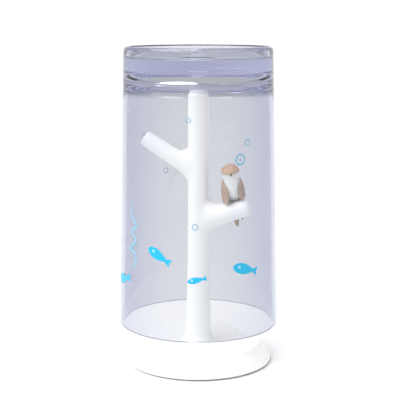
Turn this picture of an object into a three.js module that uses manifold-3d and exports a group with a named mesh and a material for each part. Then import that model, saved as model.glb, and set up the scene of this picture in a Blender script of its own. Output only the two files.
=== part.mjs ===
// A drinking cup stored upside down on a small tree: a round weighted base carries a white
// trunk with two branches, a bird perches on the lower branch, and a clear, thick-bottomed
// tumbler hangs over it all with its floor resting on a soft pad at the top of the trunk.
// Millimetres, +Z up, origin at the middle of the surface that the stand rests on.
// The branches lie in the XZ plane: the high one points to -X and the low one to +X.

import * as THREE from 'three';
import { mergeVertices } from 'three/addons/utils/BufferGeometryUtils.js';
import Module from 'manifold-3d';

const wasm = await Module();
wasm.setup();

// ---------------------------------------------------------------- driving dimensions

// Cup, named as it is used: the rim is the drinking edge, which hangs lowest here.
const CUP_HEIGHT = 139.7;
const CUP_RIM_RADIUS = 40.2;
const CUP_FOOT_RADIUS = 37.0;
const CUP_WALL = 1.9;
const CUP_FLOOR = 6.6;
const CUP_FLOOR_FILLET = 13.0;
const CUP_FOOT_DEPTH = 5.8;
const CUP_FOOT_WALL = 2.2;
const CUP_EDGE_ROUND = 1.9;

// Base
const BASE_HEIGHT = 11.3;
const BASE_FOOT_RADIUS = 37.2;
const BASE_FLARE = 4.6;
const BASE_EDGE_ROUND = 2.0;
const BASE_WALL = 2.2;
const BASE_LIP = 0.8;
const PLATE_THICKNESS = 2.0;
const RING_PROUD = 0.8;
const RING_WIDTH = 3.2;
const RING_SINK = 0.9;
const RING_INSET = 1.6;
const BALLAST_BORE = 12.0;
const POST_INSET = 2.0;
const POST_RADIUS = 3.2;
const POST_COUNT = 3;
const RIM_GAP = 9.0;

// Tree
const TRUNK_TOP_RADIUS = 5.2;
const TRUNK_FOOT_RADIUS = 6.5;
const TRUNK_ROOT_FILLET = 6.0;
const TRUNK_TOP_ROUND = 0.8;
const TREE_WALL = 1.8;
const SPIGOT_RADIUS = 5.0;
const BOSS_WALL = 2.0;
const BOSS_FLOOR = 1.6;
const PIN_RADIUS = 1.2;
const PIN_LENGTH = 2.2;

// Branches: where the axis leaves the trunk, measured down from the trunk's top, the rise
// above level, the radii, and the gap left between the tip and the cup's wall.
const HIGH_BRANCH = { side: -1, drop: 46.2, rise: 32.4, tip: 4.1, root: 4.6, gap: 5.6, flare: 2.6 };
const LOW_BRANCH = { side: 1, drop: 69.8, rise: 16.5, tip: 4.3, root: 6.3, gap: 9.1, flare: 1.6 };
const BRANCH_TIP_ROUND = 0.6;

// Rest pad on top of the trunk
const PAD_RADIUS = 4.5;
const PAD_HEIGHT = 4.8;
const PAD_STEM_RADIUS = 1.6;
const PAD_STEM_LENGTH = 4.0;

// Screws and washer
const TRUNK_SCREW = { head: 3.0, headHeight: 1.9, shank: 1.5, length: 14.0 };
const PLATE_SCREW = { head: 2.5, headHeight: 1.1, shank: 1.1, length: 6.0 };
const WASHER = { outer: 4.0, inner: 1.8, thickness: 0.6 };

// Bird, about its own upright axis that starts on top of the low branch
const BIRD_FROM_TIP = 8.55;
const BIRD_YAW = 12.0;
const BIRD_LEAN = 8.0;
const BIRD_HALF_WIDTH = 6.0;
const BIRD_HALF_DEPTH = 6.3;
const BIRD_FEATHER = 0.8;
const HEAD_RADIUS = 4.55;
const HEAD_FORWARD = 0.4;
const NECK = 2.7;
const CAP_DROP = 0.6;
const CAP_THICKNESS = 0.8;
const SHOULDER = 11.5;
const BEAK_DROP = 1.25;
const TAIL_LENGTH = 15.0;
const TAIL_HALF_WIDTH = 1.6;
const TOE_RADIUS = 0.5;
const TOE_SPREAD = 1.35;
const PEG_RADIUS = 0.7;
const PEG_IN_BIRD = 6.0;
const PEG_IN_BRANCH = 3.0;

// Clearances
const FIT_GAP = 0.3;
const SKIN_GAP = 0.15;

// Facets
const ROUND = 48;
const MIDDLE = 24;
const SMALL = 16;

// ---------------------------------------------------------------- worked-out places

const PLATE_TOP = BASE_LIP + PLATE_THICKNESS;
const RIM_Z = BASE_HEIGHT + RIM_GAP;
const CUP_TOP_Z = RIM_Z + CUP_HEIGHT;
const CUP_RECESS_Z = CUP_TOP_Z - CUP_FOOT_DEPTH;
const CUP_FLOOR_Z = CUP_RECESS_Z - CUP_FLOOR;
const TRUNK_TOP_Z = CUP_FLOOR_Z - PAD_HEIGHT;
const WASHER_Z = BASE_LIP + FIT_GAP + TRUNK_SCREW.headHeight;
const BOSS_Z = WASHER_Z + WASHER.thickness;
const SPIGOT_Z = BOSS_Z + BOSS_FLOOR + FIT_GAP;
const SPIGOT_HOLE_RADIUS = SPIGOT_RADIUS + FIT_GAP;
const ROOF_Z = BASE_HEIGHT - BASE_WALL;
const BASE_TOP_RADIUS = BASE_FOOT_RADIUS - BASE_FLARE;
const HEAD_Z = SHOULDER + NECK;
const CAP_LINE = HEAD_Z - CAP_DROP;

// ---------------------------------------------------------------- shape helpers

// A closed three.js geometry as a manifold solid, with shared corners merged.
function solid(geometry) {
  const bare = geometry.index ? geometry.toNonIndexed() : geometry.clone();
  bare.deleteAttribute('normal');
  bare.deleteAttribute('uv');
  const merged = mergeVertices(bare, 1e-4);
  const position = merged.attributes.position;
  const triangles = [];
  for (let i = 0; i < merged.index.count; i += 3) {
    const corner = [0, 1, 2].map((k) => merged.index.getX(i + k));
    if (new Set(corner).size === 3) triangles.push(corner);
  }
  const at = (i) => new THREE.Vector3().fromBufferAttribute(position, i);
  const volume = triangles.reduce((sum, [a, b, c]) => sum + at(a).dot(at(b).cross(at(c))), 0);
  if (volume < 0) triangles.forEach((corner) => corner.reverse());
  return new wasm.Manifold(new wasm.Mesh({
    numProp: 3,
    vertProperties: new Float32Array(position.array),
    triVerts: new Uint32Array(triangles.flat()),
  }));
}

// A manifold solid back as a three.js geometry.
function geometryOf(shape) {
  const mesh = shape.getMesh();
  const geometry = new THREE.BufferGeometry();
  geometry.setAttribute('position', new THREE.BufferAttribute(mesh.vertProperties, 3));
  geometry.setIndex(new THREE.BufferAttribute(mesh.triVerts, 1));
  geometry.computeVertexNormals();
  return geometry;
}

// A turned shape about Z from [radius, height] points.
function turnedGeometry(profile, facets) {
  const points = profile.map(([radius, height]) => new THREE.Vector2(radius, height));
  return new THREE.LatheGeometry(points, facets).rotateX(Math.PI / 2);
}

function turned(profile, facets) {
  return solid(turnedGeometry(profile, facets));
}

// A plain round bar or hole about a vertical line through (x, y).
function bar(radius, low, high, facets, x = 0, y = 0) {
  const geometry = turnedGeometry([[0, low], [radius, low], [radius, high], [0, high]], facets);
  return solid(geometry.translate(x, y, 0));
}

function block(low, high) {
  const size = high.map((value, i) => value - low[i]);
  const middle = high.map((value, i) => (value + low[i]) / 2);
  return solid(new THREE.BoxGeometry(...size).translate(...middle));
}

// Points of an arc in a profile, angles in degrees from the outward direction.
function arc(centreRadius, centreHeight, radius, start, end, steps) {
  const points = [];
  for (let i = 0; i <= steps; i += 1) {
    const angle = THREE.MathUtils.degToRad(start + ((end - start) * i) / steps);
    points.push([centreRadius + radius * Math.cos(angle), centreHeight + radius * Math.sin(angle)]);
  }
  return points;
}

// A flat outline in the XZ plane, pushed from y = near to y = far.
function slab(outline, near, far) {
  const shape = new THREE.Shape(outline.map(([x, z]) => new THREE.Vector2(x, z)));
  const geometry = new THREE.ExtrudeGeometry(shape, { depth: far - near, bevelEnabled: false });
  return solid(geometry.rotateX(Math.PI / 2).translate(0, far, 0));
}

// A flat outline in the YZ plane, pushed from x = -reach to x = reach.
function slabAcross(outline, reach) {
  const shape = new THREE.Shape(outline.map(([y, z]) => new THREE.Vector2(y, z)));
  const geometry = new THREE.ExtrudeGeometry(shape, { depth: 2 * reach, bevelEnabled: false });
  return solid(geometry.rotateX(Math.PI / 2).rotateZ(Math.PI / 2).translate(-reach, 0, 0));
}

function mirroredX(outline) {
  return outline.map(([x, z]) => [-x, z]).reverse();
}

// Round bar along a curve.
function rod(curve, radius, steps) {
  const section = new THREE.Shape();
  for (let i = 0; i < 8; i += 1) {
    const angle = (i * Math.PI) / 4;
    const corner = [radius * Math.cos(angle), radius * Math.sin(angle)];
    if (i === 0) section.moveTo(...corner);
    else section.lineTo(...corner);
  }
  return solid(new THREE.ExtrudeGeometry(section, { steps, extrudePath: curve, bevelEnabled: false }));
}

// ---------------------------------------------------------------- scene graph

const material = (color, roughness, metalness = 0, opacity = 1) => new THREE.MeshStandardMaterial({
  color,
  roughness,
  metalness,
  opacity,
  transparent: opacity < 1,
});

const FINISH = {
  clear: material(0xd7ddea, 0.05, 0, 0.35),
  white: material(0xf6f6f4, 0.18),
  silicone: material(0xe2e5ea, 0.45, 0, 0.7),
  steel: material(0xb9bcc0, 0.35, 1),
  rubber: material(0x8f9193, 0.8),
  brown: material(0xb8a08c, 0.4),
  tan: material(0xd3b8a3, 0.4),
  chest: material(0xeef0f1, 0.35),
  horn: material(0x4c4a4c, 0.4),
};

const group = new THREE.Group();

function add(parent, name, shape, finish) {
  const mesh = new THREE.Mesh(geometryOf(shape), finish);
  mesh.name = name;
  parent.add(mesh);
}

// ---------------------------------------------------------------- cup

const CUP_TAPER = (CUP_RIM_RADIUS - CUP_FOOT_RADIUS) / CUP_HEIGHT;

function cupOuterRadius(z) {
  return CUP_RIM_RADIUS - (z - RIM_Z) * CUP_TAPER;
}

function cupInnerRadius(z) {
  return cupOuterRadius(z) - CUP_WALL;
}

function cup() {
  const rim = CUP_WALL / 2;
  const filletRadius = cupInnerRadius(CUP_FLOOR_Z) - CUP_FLOOR_FILLET;
  const ring = CUP_FOOT_RADIUS - CUP_FOOT_WALL;
  return turned([
    [0, CUP_FLOOR_Z],
    ...arc(filletRadius, CUP_FLOOR_Z - CUP_FLOOR_FILLET, CUP_FLOOR_FILLET, 90, 0, 7),
    ...arc(CUP_RIM_RADIUS - rim, RIM_Z + rim, rim, 180, 360, 4),
    ...arc(CUP_FOOT_RADIUS - CUP_EDGE_ROUND, CUP_TOP_Z - CUP_EDGE_ROUND, CUP_EDGE_ROUND, 0, 90, 4),
    [ring, CUP_TOP_Z],
    [ring, CUP_RECESS_Z],
    [0, CUP_RECESS_Z],
  ], ROUND);
}

add(group, 'cup', cup(), FINISH.clear);

// ---------------------------------------------------------------- base

const SKIRT_FOOT_Z = BASE_LIP + 0.8;
const SKIRT_TOP_Z = BASE_HEIGHT - BASE_EDGE_ROUND;

// Radius of the skirt outside: a slightly hollow cone from the foot up to the rounded edge.
function skirtRadius(z) {
  const share = THREE.MathUtils.clamp((SKIRT_TOP_Z - z) / (SKIRT_TOP_Z - SKIRT_FOOT_Z), 0, 1);
  return BASE_TOP_RADIUS + (BASE_FOOT_RADIUS - BASE_TOP_RADIUS) * share ** 1.15;
}

const PLATE_RADIUS = skirtRadius(PLATE_TOP) - BASE_WALL - FIT_GAP;
const RING_OUTER = PLATE_RADIUS - RING_INSET;
const RING_INNER = RING_OUTER - RING_WIDTH;
const POST_CIRCLE = RING_INNER - 2 * FIT_GAP - PLATE_SCREW.head - POST_INSET;
const POSTS = Array.from({ length: POST_COUNT }, (_, i) => {
  const angle = (2 * Math.PI * i) / POST_COUNT + Math.PI / 6;
  return [POST_CIRCLE * Math.cos(angle), POST_CIRCLE * Math.sin(angle)];
});

function baseShell() {
  const levels = [0, 0.25, 0.5, 0.75, 1].map((t) => SKIRT_FOOT_Z + t * (SKIRT_TOP_Z - SKIRT_FOOT_Z));
  const inside = [BASE_LIP, PLATE_TOP, (PLATE_TOP + ROOF_Z) / 2, ROOF_Z];
  const edge = BASE_TOP_RADIUS - BASE_EDGE_ROUND;
  let shell = turned([
    [0, BASE_HEIGHT],
    ...arc(edge, SKIRT_TOP_Z, BASE_EDGE_ROUND, 90, 0, 4).slice(0, -1),
    ...levels.reverse().map((z) => [skirtRadius(z), z]),
    [BASE_FOOT_RADIUS - 0.35, BASE_LIP],
    ...inside.map((z) => [skirtRadius(z) - BASE_WALL, z]),
    [0, ROOF_Z],
  ], ROUND);
  shell = shell.add(bar(SPIGOT_HOLE_RADIUS + BOSS_WALL, BOSS_Z, BASE_HEIGHT - BASE_WALL / 2, MIDDLE));
  for (const [x, y] of POSTS) {
    shell = shell.add(bar(POST_RADIUS, PLATE_TOP, BASE_HEIGHT - BASE_WALL / 2, SMALL, x, y));
  }
  shell = shell.subtract(bar(SPIGOT_HOLE_RADIUS, SPIGOT_Z - FIT_GAP, BASE_HEIGHT + 1, MIDDLE));
  shell = shell.subtract(bar(TRUNK_SCREW.shank + FIT_GAP, BOSS_Z - 1, SPIGOT_Z, SMALL));
  for (const [x, y] of POSTS) {
    const depth = BASE_LIP + PLATE_SCREW.length + 2 * FIT_GAP;
    shell = shell.subtract(bar(PLATE_SCREW.shank + FIT_GAP, PLATE_TOP - 1, depth, SMALL, x, y));
  }
  return shell;
}

function basePlate() {
  const grooveTop = BASE_LIP + RING_SINK;
  let plate = turned([
    [0, BASE_LIP],
    [RING_INNER - FIT_GAP, BASE_LIP],
    [RING_INNER - FIT_GAP, grooveTop],
    [RING_OUTER + FIT_GAP, grooveTop],
    [RING_OUTER + FIT_GAP, BASE_LIP],
    [PLATE_RADIUS, BASE_LIP],
    [PLATE_RADIUS, PLATE_TOP],
    [0, PLATE_TOP],
  ], ROUND);
  plate = plate.subtract(bar(WASHER.outer + FIT_GAP, BASE_LIP - 1, PLATE_TOP + 1, MIDDLE));
  for (const [x, y] of POSTS) {
    const seat = BASE_LIP + PLATE_SCREW.headHeight;
    plate = plate.subtract(bar(PLATE_SCREW.head + FIT_GAP, BASE_LIP - 1, seat, SMALL, x, y));
    plate = plate.subtract(bar(PLATE_SCREW.shank + FIT_GAP, BASE_LIP - 1, PLATE_TOP + 1, SMALL, x, y));
  }
  return plate;
}

function ballastDisc() {
  const low = PLATE_TOP;
  const high = ROOF_Z - 2 * FIT_GAP;
  const outer = skirtRadius(ROOF_Z) - BASE_WALL - 2 * FIT_GAP;
  let disc = turned([
    [BALLAST_BORE, low],
    [outer, low],
    [outer, high],
    [BALLAST_BORE, high],
    [BALLAST_BORE, low],
  ], ROUND);
  for (const [x, y] of POSTS) {
    disc = disc.subtract(bar(POST_RADIUS + FIT_GAP, low - 1, high + 1, SMALL, x, y));
  }
  return disc;
}

function antiSlipRing() {
  const top = BASE_LIP + RING_SINK;
  const foot = BASE_LIP - RING_PROUD;
  return turned([
    [RING_INNER, foot],
    [RING_OUTER, foot],
    [RING_OUTER, top],
    [RING_INNER, top],
    [RING_INNER, foot],
  ], ROUND);
}

// A cross-headed screw standing on its head at z = 0, point upwards.
function screw({ head, headHeight, shank, length }) {
  const body = turned([
    [0, 0],
    [head * 0.8, 0],
    [head, headHeight * 0.5],
    [head, headHeight],
    [shank, headHeight],
    [shank, length - shank],
    [shank * 0.25, length],
    [0, length],
  ], SMALL);
  const arm = head * 0.6;
  const half = head * 0.14;
  const depth = headHeight * 0.55;
  const slotX = block([-arm, -half, -1], [arm, half, depth]);
  const slotY = block([-half, -arm, -1], [half, arm, depth]);
  return body.subtract(slotX.add(slotY));
}

function washer() {
  return turned([
    [WASHER.inner, WASHER_Z],
    [WASHER.outer, WASHER_Z],
    [WASHER.outer, BOSS_Z],
    [WASHER.inner, BOSS_Z],
    [WASHER.inner, WASHER_Z],
  ], SMALL);
}

add(group, 'base_shell', baseShell(), FINISH.white);
add(group, 'base_plate', basePlate(), FINISH.white);
add(group, 'ballast_disc', ballastDisc(), FINISH.steel);
add(group, 'anti_slip_ring', antiSlipRing(), FINISH.rubber);
add(group, 'trunk_washer', washer(), FINISH.steel);

const screws = new THREE.Group();
add(screws, 'trunk_screw', screw(TRUNK_SCREW), FINISH.steel);
screws.children[0].position.z = WASHER_Z - TRUNK_SCREW.headHeight;
POSTS.forEach(([x, y], i) => {
  add(screws, `plate_screw_${i + 1}`, screw(PLATE_SCREW), FINISH.steel);
  screws.children[i + 1].position.set(x, y, BASE_LIP);
});
group.add(screws);

// ---------------------------------------------------------------- tree

// Where a branch starts on the trunk's axis, which way it runs and how long it is: it ends
// where its lowest outer corner is the stated gap short of the cup's wall.
function branchLine({ side, drop, rise, tip, gap }) {
  const angle = THREE.MathUtils.degToRad(rise);
  const start = new THREE.Vector3(0, 0, TRUNK_TOP_Z - drop);
  const along = new THREE.Vector3(side * Math.cos(angle), 0, Math.sin(angle));
  let length = CUP_RIM_RADIUS;
  for (let i = 0; i < 8; i += 1) {
    const reach = length * Math.cos(angle) + tip * Math.sin(angle);
    const wall = cupInnerRadius(start.z + length * Math.sin(angle));
    length += (wall - gap - reach) / Math.cos(angle);
  }
  return { start, along, length, angle };
}

function branchRadius(branch, length, s) {
  const straight = branch.root + ((branch.tip - branch.root) * s) / length;
  const flare = branch.flare * Math.max(0, 1 - s / (TRUNK_TOP_RADIUS * 2.4)) ** 2;
  return straight + flare;
}

// A branch as a turned bar, flattened in Y near the trunk so that it runs into its sides.
// inset shrinks it all round, which gives the hollow that leaves a wall.
function branchSolid(branch, inset) {
  const { start, along, length } = branchLine(branch);
  const end = length - inset;
  const profile = [[0, 0]];
  const steps = 6;
  for (let i = 0; i <= steps; i += 1) {
    const s = (end - BRANCH_TIP_ROUND) * (i / steps) ** 1.5;
    profile.push([branchRadius(branch, length, s) - inset, s]);
  }
  const tip = branchRadius(branch, length, end) - inset;
  profile.push([tip - BRANCH_TIP_ROUND, end], [0, end]);
  const geometry = turnedGeometry(profile, inset > 0 ? SMALL : MIDDLE);
  const position = geometry.attributes.position;
  const limit = TRUNK_TOP_RADIUS - SKIN_GAP - Math.max(inset, 0);
  for (let i = 0; i < position.count; i += 1) {
    const radius = branchRadius(branch, length, position.getZ(i)) - inset;
    if (radius > limit && inset >= 0) position.setY(i, (position.getY(i) * limit) / radius);
  }
  const turn = new THREE.Quaternion().setFromUnitVectors(new THREE.Vector3(0, 0, 1), along);
  geometry.applyQuaternion(turn).translate(start.x, start.y, start.z);
  return geometry;
}

// Radius of the trunk outside, which swells slowly towards its foot.
function trunkRadius(z) {
  const foot = BASE_HEIGHT + TRUNK_ROOT_FILLET;
  const share = THREE.MathUtils.clamp((TRUNK_TOP_Z - z) / (TRUNK_TOP_Z - foot), 0, 1);
  return TRUNK_TOP_RADIUS + (TRUNK_FOOT_RADIUS - TRUNK_TOP_RADIUS) * share ** 4;
}

function trunkSolid(inset) {
  const foot = BASE_HEIGHT + TRUNK_ROOT_FILLET;
  const top = TRUNK_TOP_Z - (inset ? PAD_STEM_LENGTH + inset : 0);
  const round = inset ? 0 : TRUNK_TOP_ROUND;
  const levels = inset ? 4 : 7;
  const side = [];
  for (let i = 0; i <= levels; i += 1) {
    const z = foot + ((top - round - foot) * i) / levels;
    side.push([trunkRadius(z) - inset, z]);
  }
  const crown = [[trunkRadius(top) - inset - round, top], [0, top]];
  if (inset) return turned([[0, foot], ...side, ...crown], SMALL);
  const centre = TRUNK_FOOT_RADIUS + TRUNK_ROOT_FILLET;
  const flare = arc(centre, foot, TRUNK_ROOT_FILLET, 262, 180, 5).slice(0, -1);
  return turned([
    [0, SPIGOT_Z],
    [SPIGOT_RADIUS, SPIGOT_Z],
    [SPIGOT_RADIUS, BASE_HEIGHT],
    [flare[0][0], BASE_HEIGHT],
    ...flare,
    ...side,
    ...crown,
  ], MIDDLE);
}

// Places of the dowel pins that line the two halves up, each on a solid bridge.
function pinPlaces() {
  const places = [
    new THREE.Vector3(0, 0, BASE_HEIGHT + 30),
    new THREE.Vector3(0, 0, TRUNK_TOP_Z - 20),
  ];
  for (const branch of [HIGH_BRANCH, LOW_BRANCH]) {
    const { start, along, length } = branchLine(branch);
    places.push(start.clone().addScaledVector(along, length * 0.5));
  }
  return places;
}

// A dowel along Y, rooted in the rear half and standing out of it into the front half.
function dowel(place, radius, length) {
  const root = -radius;
  const geometry = turnedGeometry([[0, root], [radius, root], [radius, length], [0, length]], 12);
  geometry.rotateX(Math.PI / 2);
  return solid(geometry.translate(place.x, 0, place.z));
}

function treeHalves(pegHole) {
  let whole = trunkSolid(0);
  let hollow = trunkSolid(TREE_WALL);
  for (const branch of [HIGH_BRANCH, LOW_BRANCH]) {
    whole = whole.add(solid(branchSolid(branch, 0)));
    hollow = hollow.add(solid(branchSolid(branch, TREE_WALL)));
  }
  const bridge = 2 * PIN_RADIUS;
  for (const { x, z } of pinPlaces()) {
    const reach = TRUNK_FOOT_RADIUS;
    hollow = hollow.subtract(block([x - bridge, -reach, z - bridge], [x + bridge, reach, z + bridge]));
  }
  const screwHole = bar(TRUNK_SCREW.shank + FIT_GAP, SPIGOT_Z - 1, screwTip() + FIT_GAP, SMALL);
  const stemHole = bar(PAD_STEM_RADIUS + FIT_GAP, TRUNK_TOP_Z - PAD_STEM_LENGTH - FIT_GAP,
    TRUNK_TOP_Z + 1, SMALL);
  const cored = whole.subtract(hollow).subtract(screwHole).subtract(stemHole).subtract(pegHole);
  const far = 2 * CUP_HEIGHT;
  let front = cored.intersect(block([-far, -far, -far], [far, 0, far]));
  let rear = cored.intersect(block([-far, 0, -far], [far, far, far]));
  for (const place of pinPlaces()) {
    front = front.subtract(dowel(place, PIN_RADIUS + FIT_GAP, PIN_LENGTH + FIT_GAP));
    rear = rear.add(dowel(place, PIN_RADIUS, PIN_LENGTH));
  }
  return { front, rear };
}

function screwTip() {
  return WASHER_Z - TRUNK_SCREW.headHeight + TRUNK_SCREW.length;
}

// ---------------------------------------------------------------- bird

// The bird's own frame: upright along its Z, looking along -Y, feet at z = 0.
const bird = new THREE.Group();
{
  const { start, along, length, angle } = branchLine(LOW_BRANCH);
  const seat = start.clone().addScaledVector(along, length - BIRD_FROM_TIP);
  const top = branchRadius(LOW_BRANCH, length, length - BIRD_FROM_TIP) / Math.cos(angle);
  bird.position.set(seat.x, 0, seat.z + top);
  bird.rotation.set(0, THREE.MathUtils.degToRad(-BIRD_LEAN), THREE.MathUtils.degToRad(BIRD_YAW), 'ZYX');
  bird.updateMatrix();
}

// The low branch seen from the bird, grown by a gap all round.
function perch(gap) {
  return solid(branchSolid(LOW_BRANCH, -gap).applyMatrix4(bird.matrix.clone().invert()));
}

// A folded-wing cloak: a tube round the breast that narrows to the neck, as a solid with
// the given half width and half depth.
function cloak(halfWidth, halfDepth) {
  const geometry = turnedGeometry([
    [0, -2],
    [0.96, -2],
    [1, SHOULDER * 0.26],
    [1, SHOULDER * 0.52],
    [0.92, SHOULDER * 0.74],
    [0.78, SHOULDER * 0.92],
    [0.6, SHOULDER + 0.5],
    [0, SHOULDER + 1.1],
  ], MIDDLE);
  return solid(geometry.scale(halfWidth, halfDepth, 1));
}

const INNER_WIDTH = BIRD_HALF_WIDTH - BIRD_FEATHER;
const INNER_DEPTH = BIRD_HALF_DEPTH - BIRD_FEATHER;

function feathers() {
  return cloak(BIRD_HALF_WIDTH, BIRD_HALF_DEPTH).subtract(cloak(INNER_WIDTH, INNER_DEPTH));
}

// Long feathers from the back of the cloak, sloping clear of the back of the branch.
function vanes(halfWidth) {
  const back = BIRD_HALF_DEPTH;
  const thin = BIRD_FEATHER;
  return slabAcross([
    [back - thin, 6.5], [back - thin * 0.2, 6.5], [back + thin, 0], [back + 2 * thin, -5],
    [back + 2.8 * thin, -TAIL_LENGTH], [back + 1.8 * thin, -TAIL_LENGTH], [back + 0.8 * thin, -5],
    [back - thin, 0],
  ], halfWidth);
}

// Head outline on the cap's line: flat across, dipping to the beak.
function aboveCapLine(offset) {
  const line = CAP_LINE + offset;
  return slab([[-9, line + 0.4], [0, line - 0.3], [9, line + 0.4], [9, 30], [-9, 30]], -12, 12);
}

// A ball about the middle of the head.
function head(radius) {
  const geometry = new THREE.SphereGeometry(radius, 18, 12).rotateX(Math.PI / 2);
  return solid(geometry.translate(0, -HEAD_FORWARD, HEAD_Z));
}

function birdBody() {
  const width = INNER_WIDTH - SKIN_GAP;
  const depth = INNER_DEPTH - SKIN_GAP;
  const torso = turnedGeometry([
    [0, 1.5],
    [0.5, 1.5],
    [0.8, 2.3],
    [0.97, 4],
    [1, SHOULDER * 0.52],
    [0.92, SHOULDER * 0.73],
    [0.77, SHOULDER * 0.91],
    [0.57, SHOULDER + 0.4],
    [0, SHOULDER + 2],
  ], MIDDLE);
  const chin = slab([[-9, -9], [9, -9], [9, SHOULDER + SKIN_GAP], [-9, SHOULDER + SKIN_GAP]], -9, 9);
  const face = head(HEAD_RADIUS - SKIN_GAP).subtract(aboveCapLine(0)).subtract(chin);
  const crown = head(HEAD_RADIUS - CAP_THICKNESS - SKIN_GAP);
  let body = solid(torso.scale(width, depth, 1)).add(crown).add(face);
  body = body.subtract(bar(PEG_RADIUS + FIT_GAP, -2, PEG_IN_BIRD + FIT_GAP, 12));
  return body;
}

function birdCap() {
  const shell = head(HEAD_RADIUS).subtract(head(HEAD_RADIUS - CAP_THICKNESS));
  return shell.intersect(aboveCapLine(SKIN_GAP));
}

// Outlines of one folded wing from the front and from behind, for the +X side.
const WING_ROOT = TAIL_HALF_WIDTH + 0.2;
const WING_FRONT = [
  [4.4, SHOULDER], [3.3, 8.2], [2.5, 4.6], [2.5, 1], [3.1, -1.0], [4.1, -1.6], [5.2, -0.8], [8, 1],
  [8, SHOULDER],
];
const WING_BACK = [
  [WING_ROOT, SHOULDER], [WING_ROOT, 2], [WING_ROOT + 0.6, -6], [3, -9.9], [3.6, -10.2], [4.3, -8],
  [5.2, -1], [8, 1], [8, SHOULDER],
];

function birdWing(side) {
  const front = side > 0 ? WING_FRONT : mirroredX(WING_FRONT);
  const back = side > 0 ? WING_BACK : mirroredX(WING_BACK);
  const outline = slab(front, -12, 0.05).add(slab(back, 0, 12));
  const primaries = vanes(BIRD_HALF_WIDTH - 1);
  return feathers().add(primaries).intersect(outline).subtract(perch(SKIN_GAP));
}

function birdTail() {
  const half = TAIL_HALF_WIDTH;
  const outline = slab([
    [-half, SHOULDER], [-half, 0], [-half * 0.8, -9], [-0.4, -TAIL_LENGTH], [0.4, -TAIL_LENGTH],
    [half * 0.8, -9], [half, 0], [half, SHOULDER],
  ], 0, 12);
  return feathers().add(vanes(half)).intersect(outline).subtract(perch(SKIN_GAP));
}

function birdBeak() {
  const geometry = turnedGeometry([[0, 0], [0.85, 0], [0.45, 1.2], [0, 1.9]], 10);
  geometry.rotateX(Math.PI / 2).rotateX(THREE.MathUtils.degToRad(14));
  return solid(geometry.translate(0, -HEAD_RADIUS - HEAD_FORWARD - SKIN_GAP / 3, HEAD_Z - BEAK_DROP));
}

// Toes that hook over the branch, from its front to its back.
function birdFoot(side) {
  const { length } = branchLine(LOW_BRANCH);
  const branch = branchRadius(LOW_BRANCH, length, length - BIRD_FROM_TIP);
  const radius = branch + SKIN_GAP + TOE_RADIUS;
  const reach = INNER_DEPTH - TOE_RADIUS - FIT_GAP;
  const back = Math.asin(Math.min(0.81, reach / radius));
  const points = [];
  for (let i = 0; i <= 8; i += 1) {
    const angle = -1.01 + (i / 8) * (back + 1.01);
    points.push(new THREE.Vector3(side * TOE_SPREAD, radius * Math.sin(angle),
      radius * Math.cos(angle) - branch + side * 0.2));
  }
  return rod(new THREE.CatmullRomCurve3(points), TOE_RADIUS, 8).subtract(perch(SKIN_GAP));
}

const pegHole = solid(turnedGeometry([
  [0, -PEG_IN_BRANCH - FIT_GAP],
  [PEG_RADIUS + FIT_GAP, -PEG_IN_BRANCH - FIT_GAP],
  [PEG_RADIUS + FIT_GAP, PEG_IN_BIRD],
  [0, PEG_IN_BIRD],
], 12).applyMatrix4(bird.matrix));

const { front, rear } = treeHalves(pegHole);
add(group, 'tree_front_half', front, FINISH.white);
add(group, 'tree_rear_half', rear, FINISH.white);

const pad = turned([
  [0, TRUNK_TOP_Z - PAD_STEM_LENGTH],
  [PAD_STEM_RADIUS, TRUNK_TOP_Z - PAD_STEM_LENGTH],
  [PAD_STEM_RADIUS, TRUNK_TOP_Z],
  [PAD_RADIUS, TRUNK_TOP_Z],
  [PAD_RADIUS, CUP_FLOOR_Z],
  [0, CUP_FLOOR_Z],
], SMALL);
add(group, 'cup_rest_pad', pad, FINISH.silicone);

add(bird, 'bird_body', birdBody(), FINISH.chest);
add(bird, 'bird_cap', birdCap(), FINISH.tan);
add(bird, 'bird_wing_left', birdWing(-1), FINISH.brown);
add(bird, 'bird_wing_right', birdWing(1), FINISH.brown);
add(bird, 'bird_tail', birdTail(), FINISH.brown);
add(bird, 'bird_beak', birdBeak(), FINISH.horn);
add(bird, 'bird_foot_left', birdFoot(-1), FINISH.horn);
add(bird, 'bird_foot_right', birdFoot(1), FINISH.horn);
add(bird, 'perch_peg', bar(PEG_RADIUS, -PEG_IN_BRANCH, PEG_IN_BIRD, 12), FINISH.steel);
group.add(bird);

export default group;
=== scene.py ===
import math

import bmesh
import bpy
from bpy.props import FloatProperty, FloatVectorProperty, PointerProperty
from mathutils import Matrix, Vector


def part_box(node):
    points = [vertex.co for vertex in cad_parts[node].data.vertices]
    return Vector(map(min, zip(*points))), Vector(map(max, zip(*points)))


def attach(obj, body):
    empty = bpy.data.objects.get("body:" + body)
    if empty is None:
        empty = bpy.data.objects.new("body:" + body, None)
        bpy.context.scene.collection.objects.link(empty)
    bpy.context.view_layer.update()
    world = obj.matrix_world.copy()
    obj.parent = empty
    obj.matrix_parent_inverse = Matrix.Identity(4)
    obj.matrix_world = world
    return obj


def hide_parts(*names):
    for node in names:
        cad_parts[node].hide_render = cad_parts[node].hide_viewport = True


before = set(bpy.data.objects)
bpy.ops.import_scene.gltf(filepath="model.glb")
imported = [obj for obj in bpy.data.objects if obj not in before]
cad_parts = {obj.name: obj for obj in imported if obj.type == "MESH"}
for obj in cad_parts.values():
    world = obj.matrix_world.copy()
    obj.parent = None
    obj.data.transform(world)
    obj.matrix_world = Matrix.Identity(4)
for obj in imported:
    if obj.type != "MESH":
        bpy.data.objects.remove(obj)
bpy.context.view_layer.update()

bl_info = {
    "name": "Bird Perch Cup Stand",
    "version": (1, 0, 0),
    "blender": (4, 5, 0),
    "location": "View3D > Sidebar > Cup Stand",
    "description": "A clear cup turned over a white tree stand with a small painted bird",
    "category": "Object",
}

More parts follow.
